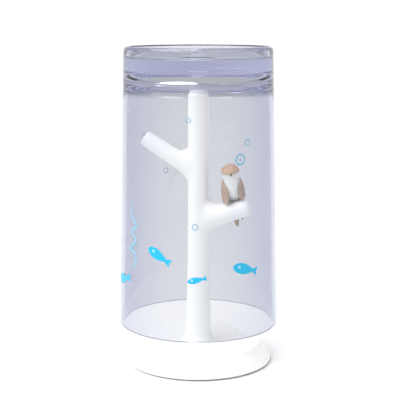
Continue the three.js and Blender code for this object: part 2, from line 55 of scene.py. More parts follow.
MM = 0.001
CUP_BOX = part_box("cup")
SKIRT_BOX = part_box("base_shell")
PAD_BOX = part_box("cup_rest_pad")
TREE_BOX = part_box("tree_front_half")


# ---------------------------------------------------------------- colours and sizes

def colour(code):
    """Linear values of an sRGB hex colour."""
    parts = [int(code[i:i + 2], 16) / 255 for i in (1, 3, 5)]
    return [c / 12.92 if c <= 0.04045 else ((c + 0.055) / 1.055) ** 2.4 for c in parts]


def length(name, description, millimetres):
    return FloatProperty(name=name, description=description, default=millimetres * MM,
                         min=0.0, precision=5, unit="LENGTH", subtype="DISTANCE")


def angle(name, description, degrees):
    return FloatProperty(name=name, description=description, default=math.radians(degrees),
                         unit="ROTATION", subtype="ANGLE")


def paint(name, description, code):
    return FloatVectorProperty(name=name, description=description, default=colour(code),
                               size=3, min=0.0, max=1.0, subtype="COLOR")


class CupSizes(bpy.types.PropertyGroup):
    foot_radius: length("Foot radius", "Outside radius at the upturned foot", 37.0)
    wall: length("Wall", "Thickness of the moulded wall", 1.9)
    floor: length("Floor", "Thickness of the solid floor", 6.6)
    fillet: length("Inner fillet", "Round between floor and wall inside", 13.0)
    recess: length("Foot recess", "Depth of the hollow under the floor", 5.8)
    foot_wall: length("Foot ring", "Thickness of the ring round the recess", 2.2)
    edge: length("Foot edge", "Round on the outside of the foot", 1.9)
    ink: length("Ink film", "Thickness of the printed ink", 0.04)


class BaseSizes(bpy.types.PropertyGroup):
    flare: length("Flare", "How far the foot stands out past the top", 4.6)
    edge: length("Top edge", "Round on the top edge", 2.0)
    wall: length("Wall", "Thickness of the moulded wall", 2.2)
    lip: length("Lip", "Height of the skirt's foot over the table", 0.8)
    plate: length("Cover plate", "Thickness of the cover plate", 2.0)
    ring_width: length("Foot ring width", "Width of the anti-slip ring", 3.2)


class TreeSizes(bpy.types.PropertyGroup):
    top_radius: length("Top radius", "Radius of the trunk at its top", 5.2)
    foot_radius: length("Foot radius", "Radius of the trunk over its root", 6.5)
    root_fillet: length("Root fillet", "Sweep from the trunk into the base", 6.0)
    high_rise: angle("High branch rise", "Angle of the high branch over level", 32.4)
    low_rise: angle("Low branch rise", "Angle of the low branch over level", 16.5)
    high_drop: length("High branch drop", "From the trunk's top to the high branch", 46.2)
    low_drop: length("Low branch drop", "From the trunk's top to the low branch", 69.8)
    high_length: length("High branch length", "Along its axis from the trunk's axis", 33.0)
    low_length: length("Low branch length", "Along its axis from the trunk's axis", 27.4)
    seam: length("Seam", "Half width of the line between the two halves", 0.03)


class BirdSizes(bpy.types.PropertyGroup):
    yaw: angle("Turn", "How far the bird turns from the front", 12.0)
    lean: angle("Lean", "How far it leans along the branch", 8.0)
    half_width: length("Half width", "Over the folded wings", 6.0)
    half_depth: length("Half depth", "From the breast to the back", 6.3)
    feather: length("Feather thickness", "Thickness of the wing shells", 0.8)
    head_radius: length("Head radius", "Radius of the cap", 4.55)
    tail: length("Tail", "How far the tail hangs under the perch", 15.0)


class StageSizes(bpy.types.PropertyGroup):
    distance: length("Camera distance", "Level distance from the trunk", 520.0)
    height: length("Camera height", "Over the table", 174.0)
    side: angle("Camera side", "Round towards +X from the front", 12.0)
    pitch: angle("Camera pitch", "Downwards", 9.93)
    aside: length("Camera aside", "To its own right", 0.8)
    lens: FloatProperty(name="Lens", description="Focal length in mm", default=93.9, min=1.0)
    key: FloatProperty(name="Key light", description="Strength of the wide softbox in W/m2",
                       default=2.75, min=0.0)


class Finishes(bpy.types.PropertyGroup):
    clear: paint("Clear", "Tint of the clear wall", "#E4E5E8")
    white: paint("White", "Moulded tree and base", "#F7F7F6")
    fish_ink: paint("Fish ink", "Fish", "#02B4E0")
    pale_ink: paint("Pale ink", "Weed and bubbles", "#86B4CC")
    cap: paint("Cap", "Crown of the bird", "#C8A589")
    wing: paint("Wing", "Folded wings and tail", "#B89B86")
    breast: paint("Breast", "Face and breast", "#EAEBE9")


GROUPS = {
    "cup_stand_cup": CupSizes,
    "cup_stand_base": BaseSizes,
    "cup_stand_tree": TreeSizes,
    "cup_stand_bird": BirdSizes,
    "cup_stand_stage": StageSizes,
    "cup_stand_finishes": Finishes,
}


# ---------------------------------------------------------------- modelling by hand

def start_clean():
    """Object mode with nothing selected."""
    if bpy.context.object and bpy.context.object.mode == "EDIT":
        bpy.ops.object.mode_set(mode="OBJECT")
    bpy.ops.object.select_all(action="DESELECT")


def pick(piece):
    """Makes one piece the only selected and active one."""
    start_clean()
    piece.select_set(True)
    bpy.context.view_layer.objects.active = piece


def edit_all(piece):
    """Edit mode on one piece with all of it selected."""
    pick(piece)
    bpy.ops.object.mode_set(mode="EDIT")
    bpy.ops.mesh.select_all(action="SELECT")


def new_piece(name):
    """Names the primitive just added and puts its place into its mesh."""
    piece = bpy.context.object
    piece.name = name
    piece.data.name = name
    bpy.ops.object.transform_apply(location=True, rotation=True, scale=True)
    return piece


def tidy(piece, sharp=32.0):
    """Merges doubles, turns the faces outwards and smooths all but the sharp edges."""
    edit_all(piece)
    bpy.ops.mesh.remove_doubles(threshold=2e-6)
    bpy.ops.mesh.select_all(action="SELECT")
    bpy.ops.mesh.normals_make_consistent(inside=False)
    if inside_out(piece):
        bpy.ops.mesh.flip_normals()
    bpy.ops.object.mode_set(mode="OBJECT")
    bpy.ops.object.shade_smooth_by_angle(angle=math.radians(sharp))
    return piece


def inside_out(piece):
    """Whether a closed mesh in edit mode encloses a negative volume."""
    return bmesh.from_edit_mesh(piece.data).calc_volume(signed=True) < 0


def turned(name, profile, sides, centre=(0.0, 0.0), sharp=32.0):
    """A turned piece. One ring of edges is drawn up and resized from point to point of the
    profile of (radius, height) in metres. A first or last radius of zero closes that end."""
    start_clean()
    x, y = centre
    rings = [point for point in profile if point[0] > 0]
    radius, height = rings[0]
    bpy.ops.mesh.primitive_circle_add(vertices=sides, radius=radius, fill_type="NOTHING",
                                      location=(x, y, height))
    piece = new_piece(name)
    bpy.ops.object.mode_set(mode="EDIT")
    bpy.ops.mesh.select_all(action="SELECT")
    for next_radius, next_height in rings[1:]:
        rise = (0.0, 0.0, next_height - height)
        bpy.ops.mesh.extrude_region_move(TRANSFORM_OT_translate={"value": rise})
        share = next_radius / radius
        bpy.ops.transform.resize(value=(share, share, 1.0), center_override=(x, y, next_height))
        radius, height = next_radius, next_height
    if profile[-1][0] == 0:
        close_end(profile[-1][1] - height)
    if profile[0][0] == 0:
        bpy.ops.mesh.select_all(action="DESELECT")
        bpy.ops.mesh.select_non_manifold(extend=False, use_wire=False, use_boundary=True,
                                         use_multi_face=False, use_non_contiguous=False,
                                         use_verts=False)
        close_end(profile[0][1] - rings[0][1])
    return tidy(piece, sharp)


def close_end(rise):
    """Closes the selected ring with a flat face, or with a point that far above it."""
    if abs(rise) < 1e-7:
        bpy.ops.mesh.edge_face_add()
        return
    bpy.ops.mesh.extrude_region_move(TRANSFORM_OT_translate={"value": (0.0, 0.0, rise)})
    bpy.ops.mesh.merge(type="CENTER")


def arc(radius, height, size, start, end, steps=7):
    """Profile points on an arc, angles in degrees from outwards."""
    points = []
    for i in range(steps + 1):
        turn = math.radians(start + (end - start) * i / steps)
        points.append((radius + size * math.cos(turn), height + size * math.sin(turn)))
    return points


def apply_modifier(piece, kind, **settings):
    """Adds a modifier of a kind and applies it."""
    pick(piece)
    modifier = piece.modifiers.new(kind.title(), kind)
    for key, value in settings.items():
        setattr(modifier, key, value)
    bpy.ops.object.modifier_apply(modifier=modifier.name)


def combine(piece, tool, operation):
    """Joins or cuts with another piece, which is used up."""
    apply_modifier(piece, "BOOLEAN", object=tool, operation=operation, solver="EXACT")
    bpy.data.objects.remove(tool)
    return piece


def shaped_grid(name, across, down, place):
    """A grid primitive whose corners go where place(u, v) says, u and v from 0 to 1."""
    start_clean()
    bpy.ops.mesh.primitive_grid_add(x_subdivisions=across, y_subdivisions=down, size=2.0)
    piece = new_piece(name)
    for vertex in piece.data.vertices:
        vertex.co = place((vertex.co.x + 1) / 2, (vertex.co.y + 1) / 2)
    edit_all(piece)
    bpy.ops.mesh.remove_doubles(threshold=1e-6)
    bpy.ops.object.mode_set(mode="OBJECT")
    return piece


def thicken(piece, thickness, away_from, sharp=40.0):
    """Gives a sheet its thickness, grown towards the point or axis it is turned away from."""
    middle = piece.data.polygons[len(piece.data.polygons) // 2]
    if middle.normal.dot(middle.center - away_from(middle.center)) < 0:
        edit_all(piece)
        bpy.ops.mesh.flip_normals()
        bpy.ops.object.mode_set(mode="OBJECT")
    apply_modifier(piece, "SOLIDIFY", thickness=thickness, offset=-1.0)
    pick(piece)
    bpy.ops.object.shade_smooth_by_angle(angle=math.radians(sharp))
    return piece


def finish(piece, body, slot, material, *replaced):
    """Gives a piece its finish, hangs it under the body it moves with and hides the parts it stands
    for.
    """
    piece.data.materials.clear()
    piece.data.materials.append(material)
    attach(piece, body)
    if replaced:
        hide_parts(*replaced)
    return piece


# ---------------------------------------------------------------- materials

def add_node(material, kind, settings=None, links=None):
    """Adds one shader node. Settings name its attributes or sockets, links name a socket
    and the node and output that feed it."""
    node = material.node_tree.nodes.new(kind)
    for key, value in (settings or {}).items():
        if isinstance(key, str) and key[0].islower():
            setattr(node, key, value)
        elif isinstance(value, (list, tuple)) and len(value) == 3 and node.inputs[key].type == "RGBA":
            node.inputs[key].default_value = (*value, 1.0)
        else:
            node.inputs[key].default_value = value
    for key, (source, output) in (links or {}).items():
        material.node_tree.links.new(source.outputs[output], node.inputs[key])
    return node


def new_material(name):
    """A material with an empty node tree."""
    material = bpy.data.materials.new(name)
    material.use_nodes = True
    material.node_tree.nodes.clear()
    return material


def surface(material, shader, volume=None):
    """Closes a material with its shader and, in a clear one, what fills it."""
    links = {"Surface": (shader, 0)}
    if volume:
        links["Volume"] = (volume, 0)
    add_node(material, "ShaderNodeOutputMaterial", links=links)
    return material


def grain(material, size_mm, detail=2.0, stretch=(1.0, 1.0, 1.0)):
    """Noise on object coordinates whose blobs are about size_mm across."""
    place = add_node(material, "ShaderNodeTexCoord")
    scaled = add_node(material, "ShaderNodeMapping", {"Scale": stretch}, {"Vector": (place, "Object")})
    return add_node(material, "ShaderNodeTexNoise",
                    {"Scale": 1.0 / (size_mm * MM), "Detail": detail}, {"Vector": (scaled, 0)})


def spread(material, source, low, high):
    """Stretches a 0.3 to 0.7 value over low to high."""
    return add_node(material, "ShaderNodeMapRange",
                    {"From Min": 0.3, "From Max": 0.7, "To Min": low, "To Max": high},
                    {"Value": (source, 0)})


def two_tones(material, source, dark, light):
    """Colours between two tones by a 0.3 to 0.7 value."""
    ramp = add_node(material, "ShaderNodeValToRGB", links={"Fac": (source, 0)})
    ramp.color_ramp.elements[0].position = 0.35
    ramp.color_ramp.elements[0].color = (*dark, 1.0)
    ramp.color_ramp.elements[1].position = 0.65
    ramp.color_ramp.elements[1].color = (*light, 1.0)
    return ramp


def shade(tone, factor):
    """A tone made darker or lighter by a factor."""
    return [value * factor for value in tone]


def grained(name, speck_mm, detail, tones, bump, rough, settings):
    """A dull finish whose specks, about speck_mm across, carry its two tones, its relief as
    (strength, depth in mm) and its roughness as (low, high)."""
    material = new_material(name)
    specks = grain(material, speck_mm, detail)
    relief = add_node(material, "ShaderNodeBump", {"Strength": bump[0], "Distance": bump[1] * MM},
                      {"Height": (specks, 0)})
    shader = add_node(material, "ShaderNodeBsdfPrincipled", settings, {
        "Base Color": (two_tones(material, specks, *tones), 0),
        "Roughness": (spread(material, specks, *rough), 0),
        "Normal": (relief, 0),
    })
    return surface(material, shader)


def gloss_abs():
    """Moulded ABS with a polished tool: a bright even white, soft wide highlights, and a
    very slight waviness over a few millimetres where the wall shrank."""
    tone = list(bpy.context.scene.cup_stand_finishes.white)
    material = new_material("Moulded gloss ABS, white")
    waves = grain(material, 6.0, 1.0)
    polish = grain(material, 1.4)
    tones = two_tones(material, polish, shade(tone, 0.994), tone)
    bump = add_node(material, "ShaderNodeBump", {"Strength": 0.03, "Distance": 0.05 * MM},
                    {"Height": (waves, 0)})
    shader = add_node(material, "ShaderNodeBsdfPrincipled", {"IOR": 1.54}, {
        "Base Color": (tones, 0),
        "Roughness": (spread(material, polish, 0.27, 0.31), 0),
        "Normal": (bump, 0),
    })
    return surface(material, shader)


def clear_san():
    """Injection-moulded SAN: glass-clear with a cool cast that deepens to lavender where the
    light runs a long way through the floor, a painted shade that darkens the wall to
    blue-lavender where it is seen edge-on, and faint flow ripples in the polish. Lamps shine
    through it, so that it throws hardly any shadow."""
    tone = list(bpy.context.scene.cup_stand_finishes.clear)
    material = new_material("Moulded SAN, clear")
    ripple = grain(material, 14.0, 1.0, (1.0, 1.0, 0.35))
    bump = add_node(material, "ShaderNodeBump", {"Strength": 0.06, "Distance": 0.25 * MM},
                    {"Height": (ripple, 0)})
    # Painted shade: the wall's tint darkens to blue-lavender where the wall is seen edge-on.
    painted_edge_shade = add_node(material, "ShaderNodeLayerWeight", {"Blend": 0.22})
    edge = add_node(material, "ShaderNodeValToRGB", links={"Fac": (painted_edge_shade, "Facing")})
    edge.color_ramp.elements[0].position = 0.0
    edge.color_ramp.elements[0].color = (*tone, 1.0)
    edge.color_ramp.elements[1].position = 0.9
    edge.color_ramp.elements[1].color = (*colour("#8391C6"), 1.0)
    plastic = add_node(material, "ShaderNodeBsdfPrincipled", {
        "Roughness": 0.015,
        "IOR": 1.56,
        "Transmission Weight": 1.0,
    }, {"Base Color": (edge, 0), "Normal": (bump, 0)})
    veil = add_node(material, "ShaderNodeBsdfTransparent", {"Color": colour("#FCFDFE")})
    path = add_node(material, "ShaderNodeLightPath")
    shader = add_node(material, "ShaderNodeMixShader", links={
        0: (path, "Is Shadow Ray"), 1: (plastic, 0), 2: (veil, 0)})
    depth = add_node(material, "ShaderNodeVolumeAbsorption",
                     {"Color": [0.30, 0.33, 0.64], "Density": 14.0})
    return surface(material, shader, depth)


def silicone():
    """Moulded silicone rubber: milky, soft and faintly dusty."""
    return grained("Moulded silicone, milky", 0.5, 4.0, (colour("#DADEE4"), colour("#E9ECF0")),
                   (0.15, 0.03), (0.42, 0.6),
                   {"IOR": 1.41, "Subsurface Weight": 0.2, "Subsurface Scale": 1.5 * MM,
                    "Subsurface Radius": (1.0, 1.0, 1.0)})


def zinc_steel():
    """Zinc-plated steel: bright blue-grey with small cloudy crystals in the plating."""
    material = new_material("Zinc-plated steel")
    clouds = grain(material, 0.8, 3.0)
    tones = two_tones(material, clouds, colour("#A9AFB6"), colour("#C9CDD2"))
    shader = add_node(material, "ShaderNodeBsdfPrincipled", {"Metallic": 1.0},
                      {"Base Color": (tones, 0),
                       "Roughness": (spread(material, clouds, 0.26, 0.44), 0)})
    return surface(material, shader)


def cast_iron():
    """Painted cast iron for the hidden weight: dark, sandy and dull."""
    return grained("Cast iron, painted grey", 0.7, 5.0, (colour("#55585B"), colour("#6B6E71")),
                   (0.5, 0.15), (0.6, 0.8), {"IOR": 1.5})


def ring_rubber():
    """Thermoplastic rubber foot ring: matt, with a spark-eroded grain."""
    return grained("Thermoplastic rubber, light grey", 0.25, 3.0,
                   (colour("#B9BBBD"), colour("#C9CBCC")), (0.4, 0.04), (0.7, 0.88), {"IOR": 1.49})


def print_ink(name, tone):
    """Screen-printed ink: an even flat film with slightly uneven cover from the screen's
    threads, drawn at twice their real 0.15 mm spacing so that it shows."""
    return grained(name, 0.3, 1.0, (shade(tone, 0.93), tone), (0.2, 0.01), (0.3, 0.42),
                   {"IOR": 1.5})


def painted_pvc(name, tone, darker, streak_mm, stretch, tone_below=None):
    """Spray-painted PVC figure: a satin skin whose tone goes uneven along the feathers,
    with darker paint left where the brush ran. A last argument of (low, high, tone) turns the
    colour over to that tone towards the bottom, between two heights over the table."""
    material = new_material(name)
    streaks = grain(material, streak_mm, 3.0, stretch)
    speck = grain(material, 0.3, 2.0)
    level = streaks
    if tone_below:
        place = add_node(material, "ShaderNodeTexCoord")
        axes = add_node(material, "ShaderNodeSeparateXYZ", links={"Vector": (place, "Object")})
        sink = add_node(material, "ShaderNodeMapRange",
                        {"From Min": tone_below[0], "From Max": tone_below[1], "To Min": 0.5, "To Max": 0.0},
                        {"Value": (axes, "Z")})
        level = add_node(material, "ShaderNodeMath", {"operation": "SUBTRACT"},
                        {0: (streaks, 0), 1: (sink, 0)})
    tones = two_tones(material, level, darker, tone)
    if tone_below:
        tones.color_ramp.elements.new(0.05).color = (*tone_below[2], 1.0)
    bump = add_node(material, "ShaderNodeBump", {"Strength": 0.35, "Distance": 0.05 * MM},
                    {"Height": (streaks, 0)})
    shader = add_node(material, "ShaderNodeBsdfPrincipled", {"IOR": 1.5},
                      {"Base Color": (tones, 0), "Normal": (bump, 0),
                       "Roughness": (spread(material, speck, 0.42, 0.58), 0)})
    return surface(material, shader)


def table_top():
    """Matt white board: no highlight, only a soft shadow."""
    material = new_material("Matt white board")
    fibres = grain(material, 2.0, 2.0)
    tones = two_tones(material, fibres, colour("#E8E8E8"), colour("#EAEAEA"))
    shader = add_node(material, "ShaderNodeBsdfPrincipled",
                      {"Specular IOR Level": 0.0, "Roughness": 0.9}, {"Base Color": (tones, 0)})
    return surface(material, shader)


# ---------------------------------------------------------------- cup and its prints

CUP_SIDES = 168
TAIL_START = 0.78


def cup_radius(height):
    """Outside radius of the turned-over cup at a height over the table."""
    sizes = bpy.context.scene.cup_stand_cup
    share = (height - CUP_BOX[0].z) / (CUP_BOX[1].z - CUP_BOX[0].z)
    return CUP_BOX[1].x + (sizes.foot_radius - CUP_BOX[1].x) * share


def on_cup(turn, height, out=0.0):
    """A point on the cup's outside, turned by an angle in radians from the front to +X."""
    radius = cup_radius(height) + out
    return Vector((radius * math.sin(turn), -radius * math.cos(turn), height))


def make_cup():
    """The cup as it stands, mouth down: from the middle of its floor down the inside, round
    the rim, up the outside and into the recess of its foot, with the gate mark in the middle."""
    sizes = bpy.context.scene.cup_stand_cup
    rim_z, top_z = CUP_BOX[0].z, CUP_BOX[1].z
    recess_z = top_z - sizes.recess
    floor_z = recess_z - sizes.floor
    rim = sizes.wall / 2
    inner = cup_radius(floor_z) - sizes.wall
    corner = inner - sizes.fillet
    ring = sizes.foot_radius - sizes.foot_wall
    soft = 0.5 * MM
    bend = 1.2 * MM
    gate = 2.2 * MM
    gate_depth = 0.4 * MM
    wall_levels = [floor_z - sizes.fillet + (rim_z + rim - floor_z + sizes.fillet) * i / 12
                   for i in range(1, 12)]
    profile = [(0, floor_z), (corner * 0.5, floor_z), (corner - 1.0 * MM, floor_z)]
    profile += arc(corner, floor_z - sizes.fillet, sizes.fillet, 90, 0, 14)
    profile += [(cup_radius(z) - sizes.wall, z) for z in wall_levels]
    profile += arc(cup_radius(rim_z) - rim, rim_z + rim, rim, 180, 360, 12)
    profile += [(cup_radius(z), z) for z in reversed(wall_levels)]
    profile += arc(sizes.foot_radius - sizes.edge, top_z - sizes.edge, sizes.edge, 0, 90, 10)
    profile += arc(ring + soft, top_z - soft, soft, 90, 180, 5)
    profile += arc(ring - bend, recess_z + bend, bend, 0, -90, 7)
    profile += [(ring * 0.6, recess_z), (gate + 1.4 * MM, recess_z), (gate + 0.4 * MM, recess_z)]
    profile += [(gate, recess_z - gate_depth), (0.7 * MM, recess_z - gate_depth),
                (0.55 * MM, recess_z - 0.05 * MM), (0, recess_z - 0.05 * MM)]
    cup = turned("cup_clear", profile, CUP_SIDES)
    cup.visible_diffuse = False
    finish(cup, "cup", "clear_plastic", clear_san(), "cup")


def ink_sheet(name, across, down, place, material):
    """A printed shape: place(u, v) gives turn and height on the cup."""
    film = bpy.context.scene.cup_stand_cup.ink

    def outside(u, v):
        turn, height = place(u, v)
        return on_cup(turn, height, 1.5 * film)

    piece = shaped_grid(name, across, down, outside)
    thicken(piece, film, lambda centre: Vector((0, 0, centre.z)))
    finish(piece, "cup", "print_ink", material)
    return piece


def fish_half_height(u):
    """Half height of a fish along its length as a share of its fattest, nose at 0."""
    if u < TAIL_START:
        return math.sin(math.pi * min(1.0, u / 0.84) ** 0.75) ** 0.8 if u > 0 else 0.0
    return 0.34 + 0.5 * (u - TAIL_START) / (1 - TAIL_START)


def make_fish(name, nose, tail, fat, ink):
    """A fish from nose to tail, each as (turn in degrees, height in mm), fat in mm."""
    middle = (nose[1] + tail[1]) / 2 * MM
    around = cup_radius(middle)
    start = Vector((math.radians(nose[0]) * around, nose[1] * MM))
    end = Vector((math.radians(tail[0]) * around, tail[1] * MM))
    along = (end - start)
    across = Vector((-along.y, along.x)).normalized()

    def place(u, v):
        w = 2 * v - 1
        half = fish_half_height(u) * fat * MM / 2
        fork = 0.07 * max(0.0, (u - TAIL_START) / (1 - TAIL_START)) * (1 - abs(w))
        point = start + along * (u - fork) + across * (w * half)
        return point.x / around, point.y

    ink_sheet(name, 30, 8, place, ink)
    eye = start + along * 0.23 + across * (0.08 * fat * MM)
    return math.degrees(eye.x / around), eye.y / MM


def make_bubble(name, turn, height, size, line, ink, first=0.0, last=360.0):
    """A ring of ink, turn in degrees, the rest in mm, or an arc of one."""
    around = cup_radius(height * MM)
    steps = max(10, int(36 * (last - first) / 360))

    def place(u, v):
        spin = math.radians(first + (last - first) * u)
        radius = (size / 2 - line * v) * MM
        return (math.radians(turn) + radius * math.cos(spin) / around,
                height * MM + radius * math.sin(spin))

    ink_sheet(name, steps, 2, place, ink)


def make_weed(name, stem, width, ink):
    """A strand of weed through (turn, height) points, width in mm."""
    around = cup_radius(stem[0][1] * MM)
    points = [Vector((math.radians(t) * around, h * MM)) for t, h in stem]

    def at(u):
        scaled = u * (len(points) - 1)
        i = min(int(scaled), len(points) - 2)
        t = scaled - i
        p0, p1 = points[max(i - 1, 0)], points[i]
        p2, p3 = points[i + 1], points[min(i + 2, len(points) - 1)]
        return 0.5 * ((2 * p1) + (p2 - p0) * t + (2 * p0 - 5 * p1 + 4 * p2 - p3) * t ** 2
                      + (3 * p1 - p0 - 3 * p2 + p3) * t ** 3)

    def place(u, v):
        step = 0.004
        along = at(min(1.0, u + step)) - at(max(0.0, u - step))
        across = Vector((-along.y, along.x)).normalized()
        half = width / 2 * MM * min(1.0, 0.25 + 5 * u, 0.25 + 5 * (1 - u))
        point = at(u) + across * ((2 * v - 1) * half)
        return point.x / around, point.y

    ink_sheet(name, 96, 2, place, ink)


def make_prints():
    """Fish as nose, tail and fatness, bubbles as turn, height, size and line, then the weed."""
    colours = bpy.context.scene.cup_stand_finishes
    fish_ink = print_ink("Screen ink, cyan", list(colours.fish_ink))
    pale_ink = print_ink("Screen ink, pale blue", list(colours.pale_ink))
    eye_ink = print_ink("Screen ink, white blue", colour("#BFE9F7"))
    shoal = [
        ((-25.6, 65.2), (-7.4, 58.4), 5.0),
        ((4.4, 50.3), (18.2, 52.2), 3.1),
        ((36.8, 56.8), (58.4, 52.8), 5.4),
        ((-72.0, 43.6), (-45.0, 48.0), 5.0),
    ]
    for i, (nose, tail, fat) in enumerate(shoal, 1):
        turn, height = make_fish(f"print_fish_{i}", nose, tail, fat, fish_ink)
        make_bubble(f"print_fish_eye_{i}", turn, height, 1.3, 0.35, eye_ink)
    bubbles = [
        (5.0, 126.9, 2.5, 0.45), (49.8, 115.8, 3.6, 0.6), (43.3, 108.0, 5.7, 0.95),
        (9.7, 76.7, 3.2, 0.5), (-139.8, 93.4, 3.0, 0.4), (-116.3, 113.8, 1.6, 0.4),
    ]
    for i, (turn, height, size, line) in enumerate(bubbles, 1):
        make_bubble(f"print_bubble_{i}", turn, height, size, line, pale_ink)
    make_bubble("print_bubble_glint", 43.0, 107.8, 1.2, 0.6, pale_ink)
    make_weed("print_weed", [
        (-44.3, 85.5), (-45.4, 80.5), (-41.0, 77.2), (-38.8, 74.5), (-43.6, 71.0), (-38.7, 67.6),
        (-43.0, 64.6), (-46.4, 62.4), (-41.0, 61.4), (-38.6, 58.8), (-39.8, 55.4), (-43.5, 52.6),
    ], 1.5, pale_ink)


# ---------------------------------------------------------------- base and fasteners

BASE_SIDES = 144
POST_RADIUS = 3.2 * MM
SCREW_HOLE = 1.8 * MM


def skirt_radius(height):
    """Outside radius of the flared skirt at a height over the table."""
    sizes = bpy.context.scene.cup_stand_base
    foot = SKIRT_BOX[1].x
    low = sizes.lip + 0.8 * MM
    high = SKIRT_BOX[1].z - sizes.edge
    share = min(1.0, max(0.0, (high - height) / (high - low)))
    return foot - sizes.flare + sizes.flare * share ** 1.15


def make_base():
    """The skirt with its trunk socket and screw posts, the plate that closes it from below
    and the soft ring in the plate's groove."""
    sizes = bpy.context.scene.cup_stand_base
    white = gloss_abs()
    top_z = SKIRT_BOX[1].z
    roof_z = top_z - sizes.wall
    edge_z = top_z - sizes.edge
    plate_top = sizes.lip + sizes.plate
    boss_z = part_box("trunk_washer")[1].z
    pocket = 5.3 * MM
    pocket_z = boss_z + 1.6 * MM
    boss = pocket + 2.0 * MM
    soft = 1.0 * MM
    levels = [edge_z + (sizes.lip + 0.8 * MM - edge_z) * i / 10 for i in range(1, 11)]
    inside = [sizes.lip + (roof_z - soft - sizes.lip) * i / 6 for i in range(7)]
    profile = [(pocket, pocket_z), (pocket, top_z - 0.2 * MM), (pocket + 0.2 * MM, top_z)]
    profile += [(15 * MM, top_z), (27 * MM, top_z)]
    profile += [(skirt_radius(edge_z) - sizes.edge - soft, top_z)]
    profile += arc(skirt_radius(edge_z) - sizes.edge, edge_z, sizes.edge, 90, 0, 10)
    profile += [(skirt_radius(z), z) for z in levels]
    profile += arc(SKIRT_BOX[1].x - 0.5 * MM, sizes.lip + 0.5 * MM, 0.5 * MM, 0, -90, 4)
    profile += [(skirt_radius(z) - sizes.wall, z) for z in inside]
    profile += arc(skirt_radius(roof_z) - sizes.wall - soft, roof_z - soft, soft, 0, 90, 4)
    profile += [(boss + soft, roof_z)]
    profile += [(boss, roof_z - soft), (boss, boss_z), (SCREW_HOLE, boss_z),
                (SCREW_HOLE, pocket_z), (pocket, pocket_z)]
    shell = turned("base_skirt", profile, BASE_SIDES)
    root = top_z - sizes.wall / 2
    post_end = plate_top + 0.05 * MM
    bore, bore_end = 1.1 * MM, plate_top + 4.2 * MM
    for i in range(3):
        x, y = post_place(i)
        post = turned("post", [
            (0, root), (POST_RADIUS, root), (POST_RADIUS, post_end),
            (bore, post_end), (bore, bore_end), (0, bore_end),
        ], 32, (x, y))
        combine(shell, post, "UNION")
    finish(tidy(shell), "stand", "white_plastic", white, "base_shell")

    plate_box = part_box("base_plate")
    ring_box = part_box("anti_slip_ring")
    outer = ring_box[1].x
    inner = outer - sizes.ring_width
    groove = sizes.lip + 0.95 * MM
    gap = 0.3 * MM
    low, high = plate_box[0].z, plate_box[1].z
    washer_hole = 4.3 * MM
    plate = turned("base_cover_plate", [
        (washer_hole, low + 0.2 * MM), (washer_hole + 0.2 * MM, low), (20 * MM, low),
        (inner - gap, low), (inner - gap, groove), (outer + gap, groove), (outer + gap, low),
        (plate_box[1].x - 0.3 * MM, low), (plate_box[1].x, low + 0.3 * MM), (plate_box[1].x, high),
        (18 * MM, high), (washer_hole, high), (washer_hole, low + 0.2 * MM),
    ], BASE_SIDES)
    below, above = low - 1 * MM, high + 1 * MM
    head_hole, head_z, shank_hole = 2.8 * MM, low + 1.1 * MM, 1.4 * MM
    for i in range(3):
        x, y = post_place(i)
        pocket_cut = turned("pocket", [
            (0, below), (head_hole, below), (head_hole, head_z),
            (shank_hole, head_z), (shank_hole, above), (0, above),
        ], 40, (x, y))
        combine(plate, pocket_cut, "DIFFERENCE")
    finish(tidy(plate), "stand", "white_plastic", white, "base_plate")

    foot, ring_top = ring_box[0].z, ring_box[1].z
    edge = 0.3 * MM
    tread = foot + 0.25 * MM
    ring = turned("anti_slip_foot_ring", [
        (inner, ring_top), (inner, foot + edge),
        *arc(inner + edge, foot + edge, edge, 180, 270, 4),
        (inner + 1.1 * MM, foot), (inner + 1.3 * MM, tread), (inner + 1.9 * MM, tread),
        (inner + 2.1 * MM, foot),
        *arc(outer - edge, foot + edge, edge, 270, 360, 4),
        (outer, ring_top), (inner, ring_top),
    ], BASE_SIDES)
    finish(ring, "stand", "ring_rubber", ring_rubber(), "anti_slip_ring")


def post_place(i):
    """Where one of the three screw posts stands."""
    low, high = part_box(f"plate_screw_{i + 1}")
    return (low.x + high.x) / 2, (low.y + high.y) / 2


def make_screw(name, node, head_height, shank, material):
    """A pan-head screw standing on its head, with a cross recess and rolled threads."""
    low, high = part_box(node)
    x, y = (low.x + high.x) / 2, (low.y + high.y) / 2
    head = (high.x - low.x) / 2
    tall = high.z - low.z
    profile = [(0, low.z), (head * 0.55, low.z), (head * 0.82, low.z + head_height * 0.12),
               (head * 0.96, low.z + head_height * 0.45), (head, low.z + head_height * 0.8),
               (head, low.z + head_height), (shank * 0.8, low.z + head_height)]
    pitch = 0.9 * MM
    z = low.z + head_height + 0.4 * MM
    while z < high.z - 2 * shank:
        profile += [(shank * 0.72, z), (shank, z + pitch * 0.35), (shank * 0.98, z + pitch * 0.45),
                    (shank * 0.72, z + pitch * 0.8)]
        z += pitch
    profile += [(shank * 0.7, high.z - 1.3 * shank), (shank * 0.2, high.z - 0.05 * tall), (0, high.z)]
    piece = turned(name, profile, 40, (x, y))
    start_clean()
    for k in range(2):
        bpy.ops.mesh.primitive_cube_add(size=1.0, location=(x, y, low.z))
        arm = new_piece("arm")
        edit_all(arm)
        wide = head * (1.15 if k else 0.24)
        deep = head * (0.24 if k else 1.15)
        bpy.ops.transform.resize(value=(wide, deep, head_height * 1.1), center_override=(x, y, low.z))
        bpy.ops.object.mode_set(mode="OBJECT")
        combine(piece, arm, "DIFFERENCE")
    finish(tidy(piece), "stand", "steel", material, node)


